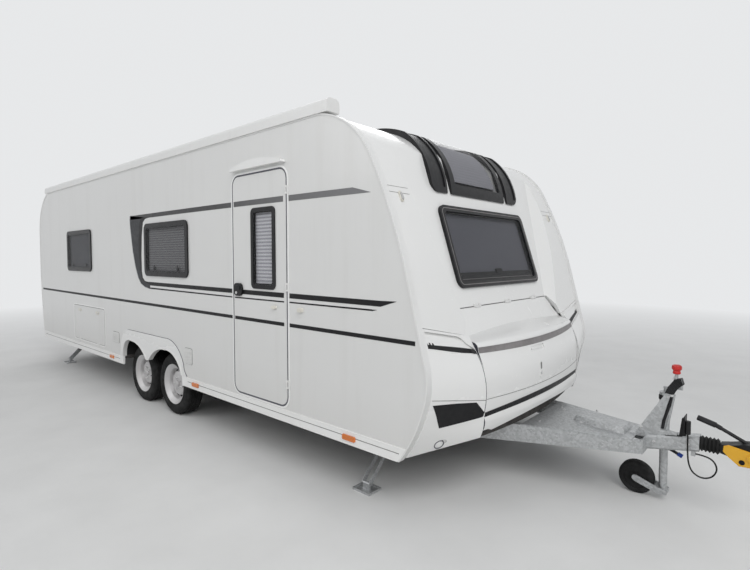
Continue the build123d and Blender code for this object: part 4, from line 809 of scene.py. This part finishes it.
# Stripes across the lid: lower and upper height, each with its rise towards the ends
# Columns: name, lower height, its rise, upper height, its rise, material, rows
LID_STRIPES = (
    ("nose_stripe_black", 0.583, -0.014, 0.622, -0.024, BLACK_VINYL, 4),
    ("nose_stripe_grey", 0.938, 0.016, 0.980, 0.009, STEEL_VINYL, 4),
    ("nose_gap", 0.668, 0.010, 0.671, 0.010, SEAM_GREY, 1),
)
LID_STEPS = 72


def lid_height(middle, rise):
    return lambda y: middle + rise * (y / LID_EDGE) ** 2


for name, low, low_rise, high, high_rise, mat, rows in LID_STRIPES:
    heights = lid_height(low, low_rise), lid_height(high, high_rise)
    stripe = rows_between(-LID_EDGE, LID_EDGE, LID_STEPS, *heights)
    band(name, *stripe, lid_skin, mat, "front_lid", rows=rows)

# Rows on the corner modules. Columns: distance from the centre line, height
TRAPEZOID_LOW = ((1.094, 0.560), (0.95, 0.568), (0.795, 0.577), (0.790, 0.585))
TRAPEZOID_HIGH = ((1.186, 0.716), (1.02, 0.700), (0.864, 0.680), (0.790, 0.606))
BAR_LOW = ((1.185, 1.030), (1.10, 1.012), (1.00, 0.990), (0.90, 0.970), (0.790, 0.953))
BAR_HIGH = ((1.180, 1.050), (1.10, 1.036), (1.00, 1.018), (0.90, 1.000), (0.790, 0.978))
GAP_LOW = ((1.196, 0.7440), (1.054, 0.7215), (0.93, 0.7005), (0.790, 0.6790))
GAP_HIGH = [(y, z + 0.003) for y, z in GAP_LOW]
LINE_INNER, LINE_OUTER = [((y, 0.600), (y, 0.970)) for y in (0.7860, 0.7898)]


def refine(row, parts=6):
    """More points along a row, so that a band follows the curved panel."""
    out = []
    for (y0, z0), (y1, z1) in zip(row, row[1:]):
        out.extend((y0 + (y1 - y0) * k / parts, z0 + (z1 - z0) * k / parts) for k in range(parts))
    return out + [row[-1]]


def corner_band(name, side, lower, upper, mat, rows=1):
    lower, upper = [refine([(side * y, z) for y, z in row]) for row in (lower, upper)]
    band(name, lower, upper, module_skin[side], mat, rows=rows)


for side, tag in SIDES:
    corner_band("nose_block_" + tag, side, TRAPEZOID_LOW, TRAPEZOID_HIGH, BLACK_VINYL, 14)
    corner_band("nose_bar_" + tag, side, BAR_LOW, BAR_HIGH, BLACK_VINYL, 3)
    for k in range(3):
        y, z = 1.176 - 0.026 * k, 1.048 - 0.005 * k
        tooth = ((side * (y + 0.008), z), (side * (y - 0.010), z - 0.003))
        tip = ((side * (y + 0.008), z + 0.016), (side * (y - 0.002), z + 0.012))
        band(f"nose_bar_tooth_{tag}_{k}", tooth, tip, module_skin[side], BLACK_VINYL)
    corner_band("nose_gap_" + tag, side, GAP_LOW, GAP_HIGH, SEAM_GREY)
    # Line of the lid's gap along the inner edge of the corner
    corner_band("lid_line_" + tag, side, LINE_INNER, LINE_OUTER, SEAL_DARK)


def on_panel(skin, y, z):
    """Matrix with its origin on a curved panel, its x level and its z square to the panel."""
    level = skin(y + 0.01, z, 0.0) - skin(y - 0.01, z, 0.0)
    rise = skin(y, z + 0.01, 0.0) - skin(y, z - 0.01, 0.0)
    return plane_matrix(skin(y, z, 0.0), level, level.cross(rise))


# Blind round lamp places low on the corners: a dark ring with a pale cap in it
LAMP_PLACE = (1.040, 0.446)
LAMP_RING = ((0.0275, -0.012), (0.0330, -0.012), (0.0330, 0.0100), (0.0300, 0.0115), (0.0275, 0.0100))
LAMP_CAP = ((0, -0.012), (0.0272, -0.012), (0.0272, 0.0070), (0.020, 0.0085), (0, 0.0090))
for side, tag in SIDES:
    place = on_panel(module_skin[side], side * LAMP_PLACE[0], LAMP_PLACE[1])
    lathe("lamp_ring_" + tag, LAMP_RING, place, SEAL_GREY, segments=36)
    lathe("lamp_cap_" + tag, LAMP_CAP, place, LIGHT_TRIM, segments=36)

# Lock cylinder on the plate of the gas locker lid, and its finger hollow as a flat grey sheet of painted
# shade
LOCK_Y = -0.124
lathe("lid_lock_cylinder", ((0, 0), (0.011, 0), (0.011, 0.004), (0.008, 0.006), (0, 0.006)),
      on_panel(lid_skin, LOCK_Y, 0.742), ZINC, "front_lid")
slab("lid_lock_hollow_shade", rounded(0.020, 0.048, 0.0095), 0.0012, on_panel(lid_skin, LOCK_Y, 0.790),
     SEAM_GREY, "front_lid")

# Dark gap at both ends of the lid, seen between it and the corner modules
GAP_NEAR = LID_EDGE + 0.0025
GAP_FAR = GAP_NEAR + 0.0045
GAP_SECTION = ((GAP_NEAR, 0.001), (GAP_FAR, 0.001), (GAP_FAR, 0.030), (GAP_NEAR, 0.030))
GAP_STEPS = 60
for side, tag in SIDES:
    heights = [0.47 + 0.74 * k / GAP_STEPS for k in range(GAP_STEPS + 1)]
    met = [lid_skin.front(side * (LID_EDGE - 0.001), z)[0] for z in heights]
    near = [point for point in met if point is not None and point.x > at(0.02)]
    bm = bmesh.new()
    rows = [[bm.verts.new((p.x - depth, side * y, p.z)) for p in near] for y, depth in GAP_SECTION]
    quads_round(bm, rows, closed=False)
    for end in (0, -1):
        bm.faces.new([row[end] for row in rows])
    make_object("lid_gap_" + tag, bm, SEAL_DARK)

# Roller blind under the skylight's pane, bent as the pane is
ROOF_BLIND_HALF = 0.31
ROOF_BLIND_START, ROOF_BLIND_SWEEP, ROOF_BLIND_STEPS = 24, 42, 14
ROOF_BLIND_DEPTHS = (0.014, 0.017)


def add_roof_blind():
    pane = Skin("window_panes")
    bm = bmesh.new()
    sheets = []
    for depth in ROOF_BLIND_DEPTHS:
        sheet = []
        for k in range(ROOF_BLIND_STEPS + 1):
            angle = math.radians(ROOF_BLIND_START + ROOF_BLIND_SWEEP * k / ROOF_BLIND_STEPS)
            direction = Vector((math.cos(angle), 0, math.sin(angle)))
            middle = pane.outward(Vector((at(-1.0), 0, 1.75)), direction, depth)
            edges = [middle + Vector((0, y, 0)) for y in (-ROOF_BLIND_HALF, ROOF_BLIND_HALF)]
            sheet.append([bm.verts.new(edge) for edge in edges])
        sheets.append(sheet)
    for sheet in sheets:
        for first, second in zip(sheet, sheet[1:]):
            quads(bm, first, second, closed=False)
    for i in (0, 1):
        quads(bm, *[[row[i] for row in sheet] for sheet in sheets], closed=False)
    for end in (0, -1):
        bm.faces.new((*sheets[0][end], *reversed(sheets[1][end])))
    make_object("roof_blind", bm, ROOF_BLIND, smooth=True)


add_roof_blind()

# Clearance lamps and seams of the front pillars
SEAM_HALF = 0.0012
pillar_skin = Skin("front_panel")
for side, tag in SIDES:
    spot = on_panel(pillar_skin, side * 1.100, 1.900)
    slab("pillar_lamp_base_" + tag, rounded(0.030, 0.070, 0.013), 0.010, spot, OFF_WHITE, bevel=0.004)
    slab("pillar_lamp_" + tag, rounded(0.018, 0.050, 0.008), 0.010, moved(spot, z=0.006), CLEAR_LENS,
         bevel=0.004)
    for name, z in (("upper", 1.962), ("lower", 1.924)):
        seam = rows_between(side * 1.205, side * 1.000, 12, lambda y: z - SEAM_HALF, lambda y: z + SEAM_HALF)
        band(f"pillar_seam_{name}_{tag}", *seam, pillar_skin, SEAM_GREY, thick=THIN_STICKER)


# Wheels: tyres with tread and sipes, wheel bolts, slots, hub caps and valves. The sipes and slots are thin
# dark pieces of painted shade

WHEEL_R, TYRE_HALF, RIM_R = 0.298, 0.0925, 0.190
# Side of the tyre from the bead out. Columns: radius over the rim, step in from the widest place
TYRE_SIDE = ((0, 0.018), (0.008, 0.013), (0.016, 0.009), (0.030, 0.0045), (0.040, 0.0020), (0.042, 0.0032),
             (0.052, 0.0008), (0.064, 0.0012), (0.078, 0.0048), (0.080, 0.0070), (0.090, 0.0115))
# Shoulder and groove of the tread. Columns: depth below the tread, then step in or offset
TYRE_SHOULDER = ((0.0085, 0.0190), (0.0035, 0.0270))
GROOVE_SECTION = ((0.0004, 0.005), (0.007, 0.003), (0.007, -0.003), (0.0004, -0.005))
TREAD_GROOVES = (0.042, 0.015, -0.015, -0.042)
SIPES = 64                    # thin ribs of painted shade where the cuts are, round the tyre, in four rows
SIPE_ROWS = ((0.048, 0.066), (0.020, 0.037))
SIPE_LOW, SIPE_HIGH = WHEEL_R - 0.0012, WHEEL_R - 0.0002
SIPE_WIDE = 0.0022
BOLTS, BOLT_CIRCLE, BOLT_FOOT = 5, 0.056, 0.034
WHEEL_BOLT = ((0, 0), (0.0145, 0), (0.0145, 0.003), (0.0105, 0.005), (0.0105, 0.014), (0.008, 0.016),
              (0, 0.016))
SLOTS, SLOT_CIRCLE, SLOT_Z, SLOT_TILT = 10, 0.1270, 0.0205, 0.615
HUB_CAP = ((0, 0.030), (0.031, 0.030), (0.031, 0.044), (0.027, 0.052), (0.015, 0.056), (0, 0.057))
VALVE = ((0, 0), (0.004, 0), (0.004, 0.022), (0, 0.024))


def tyre_profile():
    """Closed section (radius, offset) with round shoulders, sidewall steps and four grooves."""
    half = [(RIM_R + over, TYRE_HALF - step) for over, step in TYRE_SIDE]
    half += [(WHEEL_R - depth, TYRE_HALF - step) for depth, step in TYRE_SHOULDER]
    crown = [(WHEEL_R - depth, centre + offset) for centre in TREAD_GROOVES
             for depth, offset in GROOVE_SECTION]
    return half + crown + [(r, -y) for r, y in reversed(half)]


def add_sipes(name, spot, body):
    """Sipes across the tread: thin ribs of painted shade where the cuts are, laid round the tyre, joined into
    one mesh.
    """
    bm = bmesh.new()
    for k in range(SIPES):
        turn = Matrix.Rotation(2 * math.pi * (k + 0.25) / SIPES, 4, "Z")
        for sign in (-1, 1):
            for a, b in SIPE_ROWS:
                corners = ((SIPE_LOW, -0.0022, sign * a), (SIPE_HIGH, -0.0022, sign * a),
                           (SIPE_HIGH, 0.0006, sign * b), (SIPE_LOW, 0.0006, sign * b))
                near = [bm.verts.new(turn @ Vector(corner)) for corner in corners]
                far = [bm.verts.new(turn @ Vector((x, y + SIPE_WIDE, z))) for x, y, z in corners]
                bm.faces.new(near)
                bm.faces.new(far[::-1])
                quads(bm, far, near)
    bm.transform(spot)
    make_object(name, bm, CUT_SHADE, body)


def dress_wheel(node_name):
    low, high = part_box(node_name)
    corner = node_name[len("tyre_"):]
    body = "wheel_" + corner
    spot = plane_matrix((low + high) / 2, (1, 0, 0), (0, LEFT if low.y > 0 else RIGHT, 0))
    dressed = lathe("tread_" + corner, tyre_profile(), spot, TYRE, body, 128)
    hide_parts(node_name)
    add_sipes("sipes_" + corner, spot, body)
    for k in range(BOLTS):
        turn = 2 * math.pi * (k + 0.5) / BOLTS
        place = moved(spot, BOLT_CIRCLE * math.cos(turn), BOLT_CIRCLE * math.sin(turn), BOLT_FOOT)
        lathe(f"bolt_{corner}_{k}", WHEEL_BOLT, place, ZINC, body, 6, False)
    # Slots in the disc: thin dark patches of painted shade where the holes are
    for k in range(SLOTS):
        turned = spot @ Matrix.Rotation(2 * math.pi * k / SLOTS, 4, "Z")
        place = moved(turned, SLOT_CIRCLE, 0, SLOT_Z) @ Matrix.Rotation(SLOT_TILT, 4, "Y")
        slab(f"slot_{corner}_{k}", rounded(0.020, 0.040, 0.009), 0.002, moved(place, z=-0.0006), CUT_SHADE, body)
    lathe("hub_cap_" + corner, HUB_CAP, spot, RIM, body, 40)
    lathe("valve_" + corner, VALVE, moved(spot, 0.168, 0, 0.055), RUBBER, body, 12)


for node_name in sorted(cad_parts):
    if node_name.startswith("tyre_"):
        dress_wheel(node_name)


# Beads along the arch mouldings, grey as a painted shadow line, and groove and lip of the skirt rails, the
# groove a band of painted shade

# Outer edge of the mouldings on the wall: start, middle and end of each arc or straight run
ARCH_EDGE_FOOT = (-3.948, 0.460)
ARCH_EDGE = (
    ((-3.925, 0.560), (-3.858, 0.700), (-3.680, 0.764)),
    ((-3.680, 0.764), None, (-2.860, 0.764)),
    ((-2.860, 0.764), (-2.612, 0.690), (-2.510, 0.560)),
    ((-2.510, 0.560), (-2.492, 0.500), (-2.450, 0.460)),
)
# Columns: name, x0, x1
SKIRTS = (("rear", -6.72, -3.97), ("front", -2.43, 0.02))
SKIRT_GROOVE_LOW, SKIRT_GROOVE_HIGH, SKIRT_LIP_Z = 0.414, 0.4185, 0.450


def arc_points(start, middle, end, count=12):
    """Points along the circle through three points."""
    (ax, ay), (bx, by), (cx, cy) = start, middle, end
    area = 2 * (ax * (by - cy) + bx * (cy - ay) + cx * (ay - by))
    a, b, c = ax * ax + ay * ay, bx * bx + by * by, cx * cx + cy * cy
    mid_x = (a * (by - cy) + b * (cy - ay) + c * (ay - by)) / area
    mid_y = (a * (cx - bx) + b * (ax - cx) + c * (bx - ax)) / area
    radius = math.hypot(ax - mid_x, ay - mid_y)
    angles = [math.atan2(y - mid_y, x - mid_x) for x, y in (start, middle, end)]
    for i in (1, 2):
        while angles[i] - angles[i - 1] > math.pi:
            angles[i] -= 2 * math.pi
        while angles[i] - angles[i - 1] < -math.pi:
            angles[i] += 2 * math.pi
    turns = [angles[0] + (angles[2] - angles[0]) * k / count for k in range(count + 1)]
    return [(mid_x + radius * math.cos(turn), mid_y + radius * math.sin(turn)) for turn in turns]


for side, tag in SIDES:
    edge = [ARCH_EDGE_FOOT, ARCH_EDGE[0][0]]
    for start, middle, end in ARCH_EDGE:
        edge += arc_points(start, middle, end)[1:] if middle else [end]
    # Grey bead at the joint of moulding and wall: a painted shadow line along the moulding's outer edge
    tube("arch_shadow_line_" + tag, [(x, side * (HALF + 0.0015), z) for x, z in edge], 0.0032, SEAL_GREY, 2)
    for name, x0, x1 in SKIRTS:
        # The skirt rail's groove as a flat grey band: painted shade of the recess
        groove = [[(x, z) for x in (x0, x1)] for z in (SKIRT_GROOVE_LOW, SKIRT_GROOVE_HIGH)]
        band(f"skirt_groove_shade_{tag}_{name}", *groove, side_place(side, HALF + 0.005), SEAM_GREY)
        lip = [(x, side * (HALF + 0.0045), SKIRT_LIP_Z) for x in (x0, x1)]
        tube(f"skirt_lip_{tag}_{name}", lip, 0.0035, LIGHT_TRIM, 2)


# Handbrake, in the plane of its lever

LEVER_MID, LEVER_RIGHT, LEVER_LEFT = -0.027, -0.042, -0.012
GRIP = ((1.108, 0.712), (1.122, 0.752), (1.157, 0.804), (1.194, 0.816), (1.206, 0.780), (1.170, 0.748),
        (1.152, 0.706))
GRIP_RIB = ((-0.004, 0.020), (0.026, -0.012), (0.029, -0.009), (-0.001, 0.023))
KNOB_X, KNOB_FOOT = 1.166, 0.838
KNOB = ((0, 0), (0.018, 0), (0.0215, 0.004), (0.0205, 0.013), (0.0185, 0.019), (0.0230, 0.025),
        (0.0268, 0.030), (0.0268, 0.044), (0.0240, 0.051), (0.0160, 0.0550), (0, 0.0558))


def lever_side(y):
    """Plane of the handbrake at y, seen from the right: x from the datum, height."""
    return side_matrix(0, 0, RIGHT, -y)


def bolt_head(name, x, y, z, normal, radius):
    neck = 0.62 * radius
    profile = ((0, 0), (radius, 0), (radius, 0.0035), (neck, 0.0036), (neck, 0.011), (0, 0.011))
    lathe(name, profile, plane_matrix((at(x), y, z), (1, 0, 0), normal), ZINC, segments=6, smooth=False)


slab("brake_grip", GRIP, LEVER_LEFT - LEVER_RIGHT + 0.004, lever_side(LEVER_LEFT + 0.002), STEEL_BLACK,
     bevel=0.004, smooth=True)
for k in range(5):
    x, z = 1.130 + 0.011 * k, 0.733 + 0.0145 * k
    slab(f"brake_grip_rib_{k}", [(x + dx, z + dz) for dx, dz in GRIP_RIB], 0.0015,
         lever_side(LEVER_RIGHT - 0.0018), BLACK_PLASTIC)
tube("brake_button", ((1.150, LEVER_MID, 0.800), (1.165, LEVER_MID, 0.836)), 0.0055, ZINC)
tube("brake_strut", ((1.098, LEVER_MID, 0.492), (1.104, LEVER_MID, 0.540), (1.150, LEVER_MID, 0.704)),
     0.0095, STEEL_BLACK)
tube("brake_rod", ((1.122, LEVER_MID - 0.006, 0.490), (1.160, LEVER_MID - 0.006, 0.712)), 0.006, GALVANISED)
tube("brake_rod_end", ((1.146, LEVER_RIGHT, 0.706), (1.146, LEVER_LEFT, 0.706)), 0.010, ZINC)
bolt_head("brake_bolt_low", 0.985, LEVER_RIGHT, 0.482, (0, -1, 0), 0.011)
bolt_head("brake_bolt_high", 1.128, LEVER_RIGHT, 0.694, (0, -1, 0), 0.009)

# Round knob with its waist, in place of the plain one
knob = lathe("brake_knob", KNOB, upright(KNOB_X, LEVER_MID, KNOB_FOOT), RED, segments=40)
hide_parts("handbrake_knob")

# Slot on the sloping top of the housing as a dark band of painted shade, bolts on its sides, screws on the
# cover of the drawbar

HOUSING_REAR, HOUSING_FRONT = (1.018, 0.440), (1.290, 0.487)
# Columns: x, y, z
COVER_SCREWS = ((0.48, 0.035, 0.4582), (0.66, 0.16, 0.4582), (0.66, -0.16, 0.4582), (0.40, 0.20, 0.4205),
                (0.40, -0.20, 0.4205))


def housing_share(x):
    """0 at the rear end of the housing's top and 1 at its front end."""
    return (x - HOUSING_REAR[0]) / (HOUSING_FRONT[0] - HOUSING_REAR[0])


def housing_place(u, v, lift):
    """u = x from the datum, v = y, on the sloping top of the housing."""
    rise = housing_share(u) * (HOUSING_FRONT[1] - HOUSING_REAR[1])
    return (at(u), v, HOUSING_REAR[1] + rise + 0.0004 + lift)


band("housing_slot_shade", ((1.115, -0.048), (1.205, -0.046)), ((1.115, -0.030), (1.205, -0.030)), housing_place,
     CUT_SHADE)
for k, place in enumerate(COVER_SCREWS):
    bolt_head(f"cover_screw_{k}", *place, (0, 0, 1), 0.009)
for k, x in enumerate((1.060, 1.235)):
    share = housing_share(x)
    for side, tag in SIDES:
        bolt_head(f"housing_bolt_{k}_{tag}", x, side * (0.062 - 0.018 * share), 0.405 + 0.035 * share,
                  (0, side, 0), 0.010)

# Clamp of the jockey tube with its lever, and a second collar
JOCKEY = (1.085, 0.095)
JOCKEY_TUBE_R, COLLAR_EDGE = 0.0302, 0.003
for name, foot, top, radius in (("low", 0.332, 0.366, 0.040), ("high", 0.640, 0.672, 0.034)):
    collar = ((JOCKEY_TUBE_R, foot), (radius - COLLAR_EDGE, foot), (radius, foot + 0.004),
              (radius, top - 0.004), (radius - COLLAR_EDGE, top), (JOCKEY_TUBE_R, top))
    lathe("jockey_collar_" + name, collar, upright(*JOCKEY), STEEL_BLACK, segments=32)
tube("jockey_clamp_lever", ((1.085, 0.050, 0.350), (1.130, 0.044, 0.348), (1.175, 0.040, 0.330)), 0.009,
     STEEL_BLACK)
tube("jockey_clamp_end", ((1.172, 0.0402, 0.332), (1.196, 0.0385, 0.321)), 0.0125, BLUE)

# Coupling: sleeve of its handle in two parts, and the lock with its round hole, a dark disc of painted shade
COUPLING = (1.560, 0.442)
# Ends of the sleeve's parts, measured from COUPLING. Columns: x, z
SLEEVE = ((-0.170, 0.109), (-0.196, 0.1218), (-0.286, 0.1484))
SLEEVE_RADII = (0.0125, 0.016)
LOCK_FACE = -0.0508
LOCK = ((1.408, 0.470), (1.430, 0.480), (1.560, 0.458), (1.572, 0.404), (1.535, 0.376), (1.478, 0.372),
        (1.430, 0.412), (1.404, 0.438))
LOCK_HOLE = ((0, 0), (0.010, 0), (0.0135, 0.001), (0.0135, 0.003), (0, 0.003))
for k, radius in enumerate(SLEEVE_RADII):
    part = [(COUPLING[0] + dx, 0, COUPLING[1] + dz) for dx, dz in SLEEVE[k:k + 2]]
    tube(f"coupling_handle_{k}", part, radius, STEEL_BLACK)
slab("lock_case", LOCK, 0.006, lever_side(LOCK_FACE), YELLOW, bevel=0.003)
lathe("lock_hole_shade", LOCK_HOLE, side_matrix(1.492, 0.398, RIGHT, 0.0055 - LOCK_FACE), CUT_SHADE)


# Floor, backdrop, light

BACKDROP = (0.80, 0.81, 0.82, 1.0)
SKY_LIGHT, SKY_POWER = (0.95, 0.97, 1.0, 1.0), 0.42
FLOOR_RADIUS = 70.0
FLOOR_COLORS = ((0.74, 0.74, 0.73), (0.79, 0.79, 0.78))
FLOOR_ROUGH = 0.9
FLOOR_FADE = (5.0, 14.0)      # distance from the middle where the floor starts and ends its fade


def shown_rays(tree):
    """1 for rays from the camera, and for gloss and glass."""
    path = tree.nodes.new("ShaderNodeLightPath")
    seen = path.outputs["Is Camera Ray"]
    for other in ("Is Glossy Ray", "Is Transmission Ray"):
        seen = calculate(tree, "MAXIMUM", seen, path.outputs[other])
    return seen


def mix_shaders(tree, factor, first, second):
    return add_node(tree, "ShaderNodeMixShader", {"Fac": factor, 1: first, 2: second}, "Shader")


def add_stage():
    bm = bmesh.new()
    bmesh.ops.create_circle(bm, cap_ends=True, radius=FLOOR_RADIUS, segments=96)
    mesh = bpy.data.meshes.new("floor_stage")
    bm.to_mesh(mesh)
    bm.free()
    floor = bpy.data.objects.new("floor_stage", mesh)
    bpy.context.scene.collection.objects.link(floor)
    mat, tree, shader = new_material("floor_pale")
    patches = spread(tree, noise(tree, 2.0, 6.0), 0.3, 0.7, 0.0, 1.0)
    feed(shader, {"Base Color": mix_color(tree, patches, *FLOOR_COLORS), "Roughness": FLOOR_ROUGH})
    # Far from the caravan the floor fades into the backdrop, in what the camera and gloss show
    away = tree.nodes.new("ShaderNodeVectorMath")
    away.operation = "LENGTH"
    feed(away, {0: coordinates(tree)})
    fade = spread(tree, away.outputs["Value"], *FLOOR_FADE, 0.0, 1.0)
    glow = add_node(tree, "ShaderNodeEmission", {"Color": BACKDROP}, "Emission")
    shown_fade = calculate(tree, "MULTIPLY", fade, shown_rays(tree))
    mixed = mix_shaders(tree, shown_fade, shader.outputs["BSDF"], glow)
    feed(tree.nodes["Material Output"], {"Surface": mixed})
    set_material(floor, mat)


def add_light(name, place, target, size, power):
    data = bpy.data.lights.new(name, "AREA")
    data.shape = "RECTANGLE"
    data.size, data.size_y = size
    data.energy = power
    lamp = bpy.data.objects.new(name, data)
    lamp.location = place
    lamp.rotation_euler = (Vector(target) - Vector(place)).to_track_quat("-Z", "Y").to_euler()
    bpy.context.scene.collection.objects.link(lamp)


def add_world():
    world = bpy.data.worlds.new("studio")
    bpy.context.scene.world = world
    world.use_nodes = True
    tree = world.node_tree
    tree.nodes.clear()
    skies = ({"Color": SKY_LIGHT, "Strength": SKY_POWER}, {"Color": BACKDROP, "Strength": 1.0})
    light, shown = [add_node(tree, "ShaderNodeBackground", sky, "Background") for sky in skies]
    mixed = mix_shaders(tree, shown_rays(tree), light, shown)
    feed(tree.nodes.new("ShaderNodeOutputWorld"), {"Surface": mixed})


add_stage()
add_world()
add_light("key", (9.0, -6.0, 8.0), (0.5, 0.0, 1.0), (7.0, 7.0), 640.0)
add_light("fill", (-4.0, -11.0, 7.0), (0.0, 0.0, 1.0), (8.0, 6.0), 230.0)
add_light("back", (-6.0, 9.0, 8.0), (0.0, 0.0, 1.0), (8.0, 6.0), 300.0)

scene = bpy.context.scene
scene.view_settings.view_transform = "Standard"
